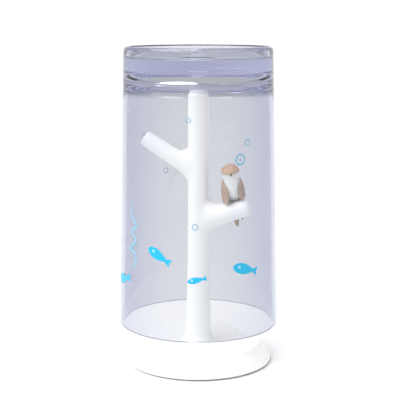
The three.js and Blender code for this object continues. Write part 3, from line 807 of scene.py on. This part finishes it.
def make_fasteners():
    """The screws and the washer, and the finish of the ballast ring and the peg."""
    steel = zinc_steel()
    make_screw("long_screw", "trunk_screw", 1.9 * MM, 1.5 * MM, steel)
    for i in range(3):
        make_screw(f"short_screw_{i + 1}", f"plate_screw_{i + 1}", 1.1 * MM, 1.1 * MM, steel)
    low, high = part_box("trunk_washer")
    outer = high.x
    hole = SCREW_HOLE
    soft = 0.12 * MM
    washer = turned("plain_washer", [
        (hole, low.z + soft), (hole + soft, low.z), (outer - soft, low.z), (outer, low.z + soft),
        (outer, high.z - soft), (outer - soft, high.z), (hole + soft, high.z), (hole, high.z - soft),
        (hole, low.z + soft),
    ], 48)
    finish(washer, "stand", "steel", steel, "trunk_washer")
    for node, metal in (("ballast_disc", cast_iron()), ("perch_peg", steel)):
        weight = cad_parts[node]
        if not weight.material_slots:
            weight.data.materials.append(metal)
        for slot in weight.material_slots:
            slot.material = metal


# ---------------------------------------------------------------- tree

BRANCH_SIDES = 72
BRANCH_SWEEP_RINGS = 14
BRANCH_RINGS = 10
BRANCH_TIP_RINGS = 5


def trunk_radius(height):
    """Radius of the trunk at a height over the table, widest over the root."""
    sizes = bpy.context.scene.cup_stand_tree
    foot = SKIRT_BOX[1].z + sizes.root_fillet
    top = TREE_BOX[1].z
    share = min(1.0, max(0.0, (top - height) / (top - foot)))
    return sizes.top_radius + (sizes.foot_radius - sizes.top_radius) * share ** 4


def make_branch(name, side, start_z, rise, reach, radii, loop, leave, edge):
    """A branch that sweeps out of the trunk. radii are at the end of the sweep and at the
    tip, loop is the lowest and highest point of the sweep on the trunk, leave is where the
    sweep has become the plain round branch, and edge is the round of the tip."""
    sweep = BRANCH_SWEEP_RINGS
    plain = sweep + 2 + BRANCH_RINGS
    along = Vector((side * math.cos(rise), 0, math.sin(rise)))
    upward = Vector((-side * math.sin(rise), 0, math.cos(rise)))
    inward = Vector((0, 1, 0))
    start = Vector((0, 0, start_z))
    half_turn = math.radians(80)
    sunk = 0.05 * MM
    low, high = loop
    pierce_z = start_z + trunk_radius(start_z) * math.tan(rise)

    def radius_at(s):
        return radii[0] + (radii[1] - radii[0]) * (s - leave) / (reach - leave)

    def ring_point(spin, s, radius):
        return start + along * s + (upward * math.cos(spin) + inward * math.sin(spin)) * radius

    def swept(spin, t):
        turn = half_turn * math.sin(spin)
        height = (low + high) / 2 + (high - low) / 2 * math.cos(spin)
        radius = trunk_radius(height) - sunk
        foot = Vector((side * radius * math.cos(turn), radius * math.sin(turn), height))
        round_ = Vector((-side * math.sin(turn), math.cos(turn), 0))
        slope = round_ * (-turn * radius) + Vector((0, 0, pierce_z - height))
        end = ring_point(spin, leave, radii[0])
        span = (end - foot).length
        pull = slope.normalized() * span * 0.95
        push = along * span * 0.95
        return (foot * (2 * t ** 3 - 3 * t ** 2 + 1) + pull * (t ** 3 - 2 * t ** 2 + t)
                + end * (3 * t ** 2 - 2 * t ** 3) + push * (t ** 3 - t ** 2))

    start_clean()
    bpy.ops.mesh.primitive_circle_add(vertices=BRANCH_SIDES, radius=2 * MM, fill_type="NGON")
    piece = new_piece(name)
    edit_all(piece)
    for _ in range(plain + BRANCH_TIP_RINGS):
        bpy.ops.mesh.extrude_region_move(TRANSFORM_OT_translate={"value": (0, 0, 1 * MM)})
    bpy.ops.object.mode_set(mode="OBJECT")
    for vertex in piece.data.vertices:
        k = round(vertex.co.z / MM)
        spin = math.atan2(vertex.co.y, vertex.co.x)
        if k == 0:
            heart = Vector((0, 0, pierce_z))
            vertex.co = heart + (swept(spin, 0) - heart) * 0.35
        elif k == 1:
            inner = swept(spin, 0)
            vertex.co = Vector((inner.x * 0.8, inner.y * 0.8, inner.z))
        elif k <= sweep + 2:
            vertex.co = swept(spin, (k - 2) / sweep)
        elif k <= plain:
            s = leave + (reach - edge - leave) * (k - sweep - 2) / BRANCH_RINGS
            vertex.co = ring_point(spin, s, radius_at(s))
        else:
            bend = math.radians(90 * (k - plain) / BRANCH_TIP_RINGS)
            s = reach - edge + edge * math.sin(bend)
            vertex.co = ring_point(spin, s, radius_at(reach) - edge + edge * math.cos(bend))
    return tidy(piece)


def make_tree():
    """Trunk and branches in one, cut into a front and a rear half, and the pad on top."""
    sizes = bpy.context.scene.cup_stand_tree
    white = gloss_abs()
    base_z = SKIRT_BOX[1].z
    fillet = sizes.root_fillet
    foot_z = base_z + fillet
    spigot_z = TREE_BOX[0].z
    top_z = TREE_BOX[1].z
    spigot = 5.0 * MM
    soft = 0.8 * MM
    stem = 1.9 * MM
    stem_z = PAD_BOX[0].z - 0.3 * MM
    side = [foot_z + (top_z - soft - foot_z) * i / 26 for i in range(1, 26)]
    profile = [(0, spigot_z), (spigot - 0.3 * MM, spigot_z), (spigot, spigot_z + 0.3 * MM)]
    profile += [(spigot, base_z)]
    profile += arc(sizes.foot_radius + fillet, foot_z, fillet, 268, 180, 12)
    profile += [(trunk_radius(z), z) for z in side]
    profile += arc(sizes.top_radius - soft, top_z - soft, soft, 0, 90, 7)
    profile += [(stem + 0.2 * MM, top_z), (stem, top_z - 0.2 * MM), (stem, stem_z), (0, stem_z)]
    tree = turned("tree", profile, 96)
    high = make_branch(
        "high_branch", -1, top_z - sizes.high_drop, sizes.high_rise, sizes.high_length,
        radii=(4.5 * MM, 4.1 * MM), loop=(91.0 * MM, 110.8 * MM), leave=15.0 * MM, edge=0.9 * MM)
    combine(tree, high, "UNION")
    low = make_branch(
        "low_branch", 1, top_z - sizes.low_drop, sizes.low_rise, sizes.low_length,
        radii=(5.3 * MM, 4.3 * MM), loop=(65.0 * MM, 84.8 * MM), leave=13.5 * MM, edge=2.0 * MM)
    combine(tree, low, "UNION")
    tidy(tree)
    halves = (("tree_front", 1, "tree_front_half"), ("tree_rear", -1, "tree_rear_half"))
    for name, keep, node in halves:
        half = tree.copy()
        half.data = tree.data.copy()
        half.name = name
        half.data.name = name
        bpy.context.scene.collection.objects.link(half)
        edit_all(half)
        bpy.ops.mesh.bisect(plane_co=(0, -keep * sizes.seam, 0), plane_no=(0, keep, 0),
                            use_fill=True, clear_outer=True, threshold=1e-7)
        bpy.ops.object.mode_set(mode="OBJECT")
        finish(tidy(half), "stand", "white_plastic", white, node)
    bpy.data.objects.remove(tree)

    low_corner, high_corner = PAD_BOX
    pad_radius = high_corner.x
    stem_radius = 1.6 * MM
    foot, crown = low_corner.z, high_corner.z
    low_edge, top_edge = 0.3 * MM, 0.9 * MM
    pad = turned("rest_pad", [
        (0, foot), (stem_radius - low_edge, foot), (stem_radius, foot + low_edge),
        (stem_radius, top_z), (pad_radius - low_edge, top_z),
        *arc(pad_radius - low_edge, top_z + low_edge, low_edge, -90, 0, 4),
        *arc(pad_radius - top_edge, crown - top_edge, top_edge, 0, 90, 7),
        (1.5 * MM, crown), (0, crown),
    ], 64)
    finish(pad, "stand", "silicone", silicone(), "cup_rest_pad")


# ---------------------------------------------------------------- bird

PERCH_RADIUS = 4.62 * MM
COVERT_ROW = 3.1
COVERTS_END = 3.4


def bird_frame():
    """Where the bird's own upright axis stands: feet at its zero, looking along -Y."""
    sizes = bpy.context.scene.cup_stand_bird
    turn = Matrix.Rotation(sizes.yaw, 4, "Z") @ Matrix.Rotation(-sizes.lean, 4, "Y")
    low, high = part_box("perch_peg")
    middle = (low + high) / 2
    return Matrix.Translation(middle - turn @ Vector((0, 0, 1.5 * MM))) @ turn


def perch_top(x, y):
    """Height of the branch's surface in the bird's own frame, or None clear of it."""
    sizes = bpy.context.scene.cup_stand_tree
    top_z = TREE_BOX[1].z
    home = bird_frame().inverted()
    start = home @ Vector((0, 0, top_z - sizes.low_drop))
    along = home.to_3x3() @ Vector((math.cos(sizes.low_rise), 0, math.sin(sizes.low_rise)))
    point = Vector((x, y, 0)) - start
    lift = Vector((0, 0, 1))
    flat = point - along * point.dot(along)
    rise = lift - along * lift.dot(along)
    a, b, c = rise.dot(rise), 2 * flat.dot(rise), flat.dot(flat) - PERCH_RADIUS ** 2
    inside = b * b - 4 * a * c
    return None if inside < 0 else (-b + math.sqrt(inside)) / (2 * a)


def settle(piece, slot, material, *nodes):
    """Moves a piece of the bird from its own frame onto the branch."""
    pick(piece)
    piece.matrix_world = bird_frame()
    bpy.ops.object.transform_apply(location=True, rotation=True, scale=True)
    finish(piece, "stand", slot, material, *nodes)


def cloak(height):
    """Share of the full width of the folded wings at a height in mm."""
    steps = [(6, 1.0), (8.5, 0.93), (10.2, 0.83), (11.4, 0.70), (12.2, 0.5)]
    for (z0, s0), (z1, s1) in zip(steps, steps[1:]):
        if height <= z1:
            t = max(0.0, (height - z0) / (z1 - z0))
            t = t * t * (3 - 2 * t)
            return s0 + (s1 - s0) * t
    return steps[-1][1]


def blend_through(steps, value):
    """Straight-line value through (input, output) pairs."""
    if value <= steps[0][0]:
        return steps[0][1]
    for (a, p), (b, q) in zip(steps, steps[1:]):
        if value <= b:
            return p + (q - p) * (value - a) / (b - a)
    return steps[-1][1]


def make_wing(name, side, node, material):
    """A folded wing: a shell round the side of the body with three rows of coverts and long
    primaries that hang clear behind the branch."""
    sizes = bpy.context.scene.cup_stand_bird
    wide, deep = sizes.half_width, sizes.half_depth

    lift = 1.3 if side > 0 else 0.0
    front, back = 24, 163
    clear = 0.15 * MM

    def bottom(turn):
        """Lowest point of the wing at a turn in degrees from the front, in mm."""
        if turn < 105:
            return lift + blend_through([
                (24, 2.2), (30, 0.0), (37, -0.9), (44, -0.2), (50, -0.6), (60, 0.2), (90, 0.4),
            ], turn)
        return blend_through([
            (120, 0.6), (130, -2.0), (138, -9.6), (144, -12.0), (150, -11.6), (163, -8.6),
        ], turn)

    def place(u, v):
        turn = front + (back - front) * u
        low = bottom(turn) * MM
        top = 11.5 * MM
        height = low + (top - low) * v
        share = cloak(height / MM)
        edge = blend_through([
            (-2, 31), (1, 25), (4.6, 25), (8.2, 37), (11.0, 74), (11.6, 86),
        ], height / MM)
        spin = math.radians(edge + (back - edge) * (turn - front) / (back - front))
        row = (height / MM + 20) % COVERT_ROW / COVERT_ROW
        coverts = height > COVERTS_END * MM
        shingle = 0.16 * (1 - row) * MM if coverts else 0.0
        shaft = abs(math.sin(math.radians(turn - front) * 6.2)) ** 0.6
        groove = (0.16 if coverts else 0.24) * (shaft - 1) * MM
        x = side * (wide * share + groove - shingle * 0.5) * math.sin(spin)
        y = -(deep * share + groove - shingle * 0.5) * math.cos(spin)
        if turn > 120 and height < 2 * MM:
            y += (2 * MM - height) * 0.17
        branch = perch_top(x, y)
        if branch is not None and height < branch + clear and abs(y) < PERCH_RADIUS + 0.13 * MM:
            height = branch + clear + (height - low) * 0.02
        return Vector((x, y, height))

    wing = shaped_grid(name, 56, 40, place)
    thicken(wing, sizes.feather * 0.9, lambda centre: Vector((0, 0, centre.z)))
    settle(wing, "bird_brown", material, node)


def make_tail(material):
    """Five overlapping tail feathers that taper to a narrow end behind the branch."""
    sizes = bpy.context.scene.cup_stand_bird
    deep = sizes.half_depth

    def place(u, v):
        w = 2 * u - 1
        top = 10.5 * MM
        end = -sizes.tail + 0.9 * MM * abs(w) ** 2
        height = end + (top - end) * v
        half = blend_through([
            (-15.0, 0.7), (-14.2, 1.0), (-9, 1.5), (0, 1.6), (9, 1.5), (11, 1.2),
        ], height / MM)
        back = deep * cloak(height / MM)
        if height < 2 * MM:
            back += (2 * MM - height) * 0.16
        shaft = abs(math.sin(w * math.pi * 1.25))
        x = w * half * MM
        y = back - (abs(w) ** 2) * 0.35 * MM - 0.14 * (1 - shaft) * MM
        return Vector((x, y, height))

    tail = shaped_grid("bird_tail_feathers", 20, 44, place)
    thicken(tail, sizes.feather, lambda centre: Vector((centre.x, 0, centre.z)))
    settle(tail, "bird_brown", material, "bird_tail")


def make_body(material):
    """Breast and face in one: rings drawn up from the belly, set out to the bird's oval. Each
    level is height, half width, half depth and shift to the rear in mm."""
    levels = [
        (0.35, 1.2, 1.4, -0.9), (0.7, 2.4, 2.7, -0.7), (1.5, 3.7, 4.0, -0.4), (2.6, 4.5, 4.8, -0.2),
        (4.2, 4.9, 5.25, 0.0), (6.0, 4.95, 5.35, 0.0), (7.8, 4.75, 5.1, 0.0), (9.4, 4.4, 4.7, -0.1),
        (10.6, 4.15, 4.4, -0.2), (11.6, 4.1, 4.25, -0.3), (12.4, 4.2, 4.25, -0.4),
        (13.2, 4.3, 4.3, -0.4), (13.9, 4.33, 4.33, -0.4), (14.2, 3.9, 3.9, -0.4),
        (15.4, 3.6, 3.6, -0.4), (16.8, 2.6, 2.6, -0.4), (17.6, 1.2, 1.2, -0.4),
    ]
    start_clean()
    height, wide, deep, shift = [value * MM for value in levels[0]]
    bpy.ops.mesh.primitive_circle_add(vertices=56, radius=wide, fill_type="NGON",
                                      location=(0, shift, height))
    body = new_piece("bird_breast")
    edit_all(body)
    for level in levels[1:]:
        z, x, y, move = [value * MM for value in level]
        step = (0, move - shift, z - height)
        bpy.ops.mesh.extrude_region_move(TRANSFORM_OT_translate={"value": step})
        bpy.ops.transform.resize(value=(x / wide, y / deep, 1.0), center_override=(0, move, z))
        height, wide, deep, shift = z, x, y, move
    bpy.ops.object.mode_set(mode="OBJECT")
    tidy(body, 60.0)
    apply_modifier(body, "SUBSURF", levels=1, render_levels=1)
    pick(body)
    bpy.ops.object.shade_smooth()
    settle(body, "bird_white", material, "bird_body")


def make_crown(material):
    """The cap over the head, a shell whose front edge dips to the beak and whose left side
    is a little fuller."""
    sizes = bpy.context.scene.cup_stand_bird
    radius = sizes.head_radius
    centre = Vector((0, -0.4 * MM, 14.2 * MM))
    thick = 0.75 * MM
    outer = arc(0, 0, radius, 0, 84, 16)
    inner = arc(0, 0, radius - thick, 84, 0, 10)
    crown = turned("bird_crown", [
        (0, radius - thick), *inner, *outer[:-1], (0.25 * MM, radius * 0.9995), (0, radius),
    ], 56, sharp=50.0)
    for vertex in crown.data.vertices:
        hold = max(0.0, 1 - max(0.0, vertex.co.z) / (2.2 * MM))
        reach = abs(vertex.co.x) / radius
        front = max(0.0, -vertex.co.y / radius)
        rise = math.atan2(max(0.0, vertex.co.z), math.hypot(vertex.co.x, vertex.co.y))
        if vertex.co.x < 0:
            vertex.co.x *= 1 + 0.12 * math.sin(2 * rise) ** 2
        dip = 0.45 * front * (1 - reach) ** 2
        vertex.co.z += hold * (0.35 * reach - dip + 0.1 * vertex.co.x / radius) * MM
        vertex.co += centre
    settle(crown, "bird_tan", material, "bird_cap")


def make_beak(material):
    """A short hooked beak: rings drawn out of the face and bent down."""
    beak = turned("bird_bill", [
        (0, 0), (0.5 * MM, 0), (0.66 * MM, 0.05 * MM), (0.66 * MM, 0.3 * MM), (0.52 * MM, 0.7 * MM),
        (0.32 * MM, 1.1 * MM), (0.15 * MM, 1.35 * MM), (0, 1.45 * MM),
    ], 28, sharp=60.0)
    for vertex in beak.data.vertices:
        along, x, side = vertex.co.z, vertex.co.x, vertex.co.y
        droop = 0.22 * (along / MM) ** 2 * MM
        vertex.co = Vector((x * 0.9, -4.75 * MM - along * 0.95, 13.75 * MM + side * 0.8 - droop))
    tidy(beak, 60.0)
    settle(beak, "bird_horn", material, "bird_beak")


def make_foot(name, side, node, material):
    """Three toes and their claws, hooked over the front of the branch, and one behind."""
    toes = []
    for k, splay in enumerate((-1, 0, 1, 0)):
        back = k == 3
        first, last = (-4, 46) if back else (8, -34)
        start_clean()
        bpy.ops.curve.primitive_bezier_curve_add(location=(0, 0, 0))
        toe = bpy.context.object
        toe.name = f"{name}_toe_{k}"
        curve = toe.data
        spline = curve.splines[0]
        spline.bezier_points.add(2)
        for i, point in enumerate(spline.bezier_points):
            t = i / 3
            turn = math.radians(first + (last - first) * t)
            lift = PERCH_RADIUS + (0.55 - 0.3 * t) * MM
            x = side * 1.75 * MM + splay * (0.25 + 0.75 * t) * MM
            point.co = (x, lift * math.sin(turn), lift * math.cos(turn) - PERCH_RADIUS + x * 0.15)
            point.handle_left_type = point.handle_right_type = "AUTO"
            point.radius = (1.0, 1.0, 0.9, 0.4)[i]
        curve.bevel_depth = 0.5 * MM
        curve.bevel_resolution = 4
        curve.resolution_u = 8
        curve.use_fill_caps = True
        pick(toe)
        bpy.ops.object.convert(target="MESH")
        bpy.ops.object.transform_apply(location=True, rotation=True, scale=True)
        toes.append(tidy(bpy.context.object, 60.0))
    foot = toes[0]
    foot.name = name
    foot.data.name = name
    for toe in toes[1:]:
        combine(foot, toe, "UNION")
    tidy(foot, 60.0)
    settle(foot, "bird_horn", material, node)


def make_bird():
    """Paints and pieces of the bird, from the breast to the toes."""
    colours = bpy.context.scene.cup_stand_finishes
    cap, wing, breast = list(colours.cap), list(colours.wing), list(colours.breast)
    tan = painted_pvc("Painted PVC, tan", cap, shade(cap, 0.86), 0.9, (1.0, 1.0, 0.6))
    brown = painted_pvc("Painted PVC, brown", wing, shade(wing, 0.78), 0.7, (1.0, 1.0, 0.22))
    feet = bird_frame().translation.z
    # The breast turns grey towards its lowest part, just over the branch.
    white = painted_pvc("Painted PVC, white", breast, shade(breast, 0.93), 0.8, (1.0, 1.0, 0.4),
                        (feet + 1.4 * MM, feet + 3.2 * MM, colour("#A9A7A8")))
    even = (1.0, 1.0, 1.0)
    horn = painted_pvc("Painted PVC, dark horn", colour("#4A4648"), colour("#353234"), 0.5, even)
    toes = painted_pvc("Painted PVC, grey brown", colour("#B3AAA4"), colour("#988E87"), 0.5, even)
    make_body(white)
    make_crown(tan)
    make_wing("bird_folded_wing_left", -1, "bird_wing_left", brown)
    make_wing("bird_folded_wing_right", 1, "bird_wing_right", brown)
    make_tail(brown)
    make_beak(horn)
    make_foot("bird_toes_left", -1, "bird_foot_left", toes)
    make_foot("bird_toes_right", 1, "bird_foot_right", toes)


# ---------------------------------------------------------------- stage

STAGE_MIDDLE = Vector((0, 0, 0.08))
FLOOR_SIDE = 24.0


def add_lamp(name, kind, place, energy):
    """A lamp turned from its place towards the middle of the stand."""
    light = bpy.data.lights.new(name, kind)
    light.energy = energy
    lamp = bpy.data.objects.new(name, light)
    lamp.location = place
    lamp.rotation_euler = (STAGE_MIDDLE - Vector(place)).to_track_quat("-Z", "Y").to_euler()
    bpy.context.scene.collection.objects.link(lamp)
    return light


def make_lamps(key):
    """One wide softbox high on the left and two strips that draw light along the cup."""
    softbox = add_lamp("Wide softbox", "SUN", (-0.42, -0.40, 0.90), key)
    softbox.angle = math.radians(60)
    for name, place, energy in (("Left strip", (-0.45, -0.75, 0.62), 1.6),
                                ("Right strip", (0.69, -0.54, 0.62), 0.9)):
        strip = add_lamp(name, "AREA", place, energy)
        strip.shape = "RECTANGLE"
        strip.size, strip.size_y = 0.60, 0.16


def white_room():
    """A white room that is brightest low down and behind the stand."""
    world = bpy.data.worlds.new("Soft white room")
    world.use_nodes = True
    room = world.node_tree.nodes["Background"]
    room.inputs["Color"].default_value = (1.0, 1.0, 1.0, 1.0)
    direction = add_node(world, "ShaderNodeTexCoord")
    axes = add_node(world, "ShaderNodeSeparateXYZ", links={"Vector": (direction, "Generated")})
    upward = add_node(world, "ShaderNodeMapRange", {
        "From Min": 0.10, "From Max": 0.45, "To Min": 1.08, "To Max": 0.66,
    }, {"Value": (axes, "Z")})
    rearward = add_node(world, "ShaderNodeMapRange", {
        "From Min": -0.8, "From Max": 0.0, "To Min": 0.5, "To Max": 1.0,
    }, {"Value": (axes, "Y")})
    both = add_node(world, "ShaderNodeMath", {"operation": "MULTIPLY"},
                    {0: (upward, 0), 1: (rearward, 0)})
    world.node_tree.links.new(both.outputs[0], room.inputs["Strength"])
    return world


def make_camera(sizes):
    """A long lens in front of the stand, a little round to its right."""
    camera = bpy.data.cameras.new("Front view")
    camera.lens = sizes.lens
    camera.sensor_width = 36.0
    camera.clip_end = 50.0
    eye = bpy.data.objects.new("Front view", camera)
    aside = Vector((math.cos(sizes.side), math.sin(sizes.side), 0)) * sizes.aside
    out = Vector((math.sin(sizes.side), -math.cos(sizes.side), 0)) * sizes.distance
    eye.location = out + aside + Vector((0, 0, sizes.height))
    eye.rotation_euler = (math.radians(90) - sizes.pitch, 0, sizes.side)
    bpy.context.scene.collection.objects.link(eye)
    bpy.context.scene.camera = eye


def make_stage():
    """The white floor, the room, the lamps and the camera."""
    scene = bpy.context.scene
    sizes = scene.cup_stand_stage
    start_clean()
    bpy.ops.mesh.primitive_plane_add(size=FLOOR_SIDE, location=(0, 0, 0))
    floor = new_piece("table_top")
    floor.data.materials.append(table_top())
    scene.world = white_room()
    scene.view_settings.view_transform = "Standard"
    # Light turns back many times inside the thick floor of the cup.
    scene.cycles.max_bounces = 40
    scene.cycles.transmission_bounces = 40
    scene.cycles.glossy_bounces = 16
    make_lamps(sizes.key)
    make_camera(sizes)


# ---------------------------------------------------------------- operators and panel

class CUPSTAND_OT_stage(bpy.types.Operator):
    """Lays the white table, the soft light and the camera"""
    bl_idname = "cup_stand.make_stage"
    bl_label = "Stage"

    def execute(self, context):
        make_stage()
        return {"FINISHED"}


class CUPSTAND_OT_cup(bpy.types.Operator):
    """Turns the clear cup"""
    bl_idname = "cup_stand.make_cup"
    bl_label = "Clear Cup"

    def execute(self, context):
        make_cup()
        return {"FINISHED"}


class CUPSTAND_OT_prints(bpy.types.Operator):
    """Prints the fish, bubbles and weed on the cup"""
    bl_idname = "cup_stand.make_prints"
    bl_label = "Cup Prints"

    def execute(self, context):
        make_prints()
        return {"FINISHED"}


class CUPSTAND_OT_base(bpy.types.Operator):
    """Turns the base skirt, its cover plate and the anti-slip ring"""
    bl_idname = "cup_stand.make_base"
    bl_label = "Base"

    def execute(self, context):
        make_base()
        return {"FINISHED"}


class CUPSTAND_OT_fasteners(bpy.types.Operator):
    """Turns the screws and the washer and finishes the hidden metal"""
    bl_idname = "cup_stand.make_fasteners"
    bl_label = "Fasteners"

    def execute(self, context):
        make_fasteners()
        return {"FINISHED"}


class CUPSTAND_OT_tree(bpy.types.Operator):
    """Models the trunk with its two branches, in two halves, and the rest pad"""
    bl_idname = "cup_stand.make_tree"
    bl_label = "Tree"

    def execute(self, context):
        make_tree()
        return {"FINISHED"}


class CUPSTAND_OT_bird(bpy.types.Operator):
    """Models the bird on the low branch"""
    bl_idname = "cup_stand.make_bird"
    bl_label = "Bird"

    def execute(self, context):
        make_bird()
        return {"FINISHED"}


OPERATORS = (
    CUPSTAND_OT_stage, CUPSTAND_OT_base, CUPSTAND_OT_fasteners, CUPSTAND_OT_tree,
    CUPSTAND_OT_bird, CUPSTAND_OT_cup, CUPSTAND_OT_prints,
)


class CUPSTAND_PT_panel(bpy.types.Panel):
    bl_idname = "CUPSTAND_PT_panel"
    bl_label = "Cup Stand"
    bl_space_type = "VIEW_3D"
    bl_region_type = "UI"
    bl_category = "Cup Stand"

    def draw(self, context):
        for operator in OPERATORS:
            self.layout.operator(operator.bl_idname)
        for name, group in GROUPS.items():
            box = self.layout.box()
            box.label(text=group.__name__)
            settings = getattr(context.scene, name)
            for key in group.__annotations__:
                box.prop(settings, key)


def register():
    for name, group in GROUPS.items():
        bpy.utils.register_class(group)
        setattr(bpy.types.Scene, name, PointerProperty(type=group))
    for kind in (*OPERATORS, CUPSTAND_PT_panel):
        bpy.utils.register_class(kind)


def unregister():
    for kind in reversed((*OPERATORS, CUPSTAND_PT_panel)):
        bpy.utils.unregister_class(kind)
    for name, group in GROUPS.items():
        delattr(bpy.types.Scene, name)
        bpy.utils.unregister_class(group)


def main():
    register()
    bpy.ops.cup_stand.make_stage()
    bpy.ops.cup_stand.make_base()
    bpy.ops.cup_stand.make_fasteners()
    bpy.ops.cup_stand.make_tree()
    bpy.ops.cup_stand.make_bird()
    bpy.ops.cup_stand.make_cup()
    bpy.ops.cup_stand.make_prints()
    start_clean()


if __name__ == "__main__":
    main()
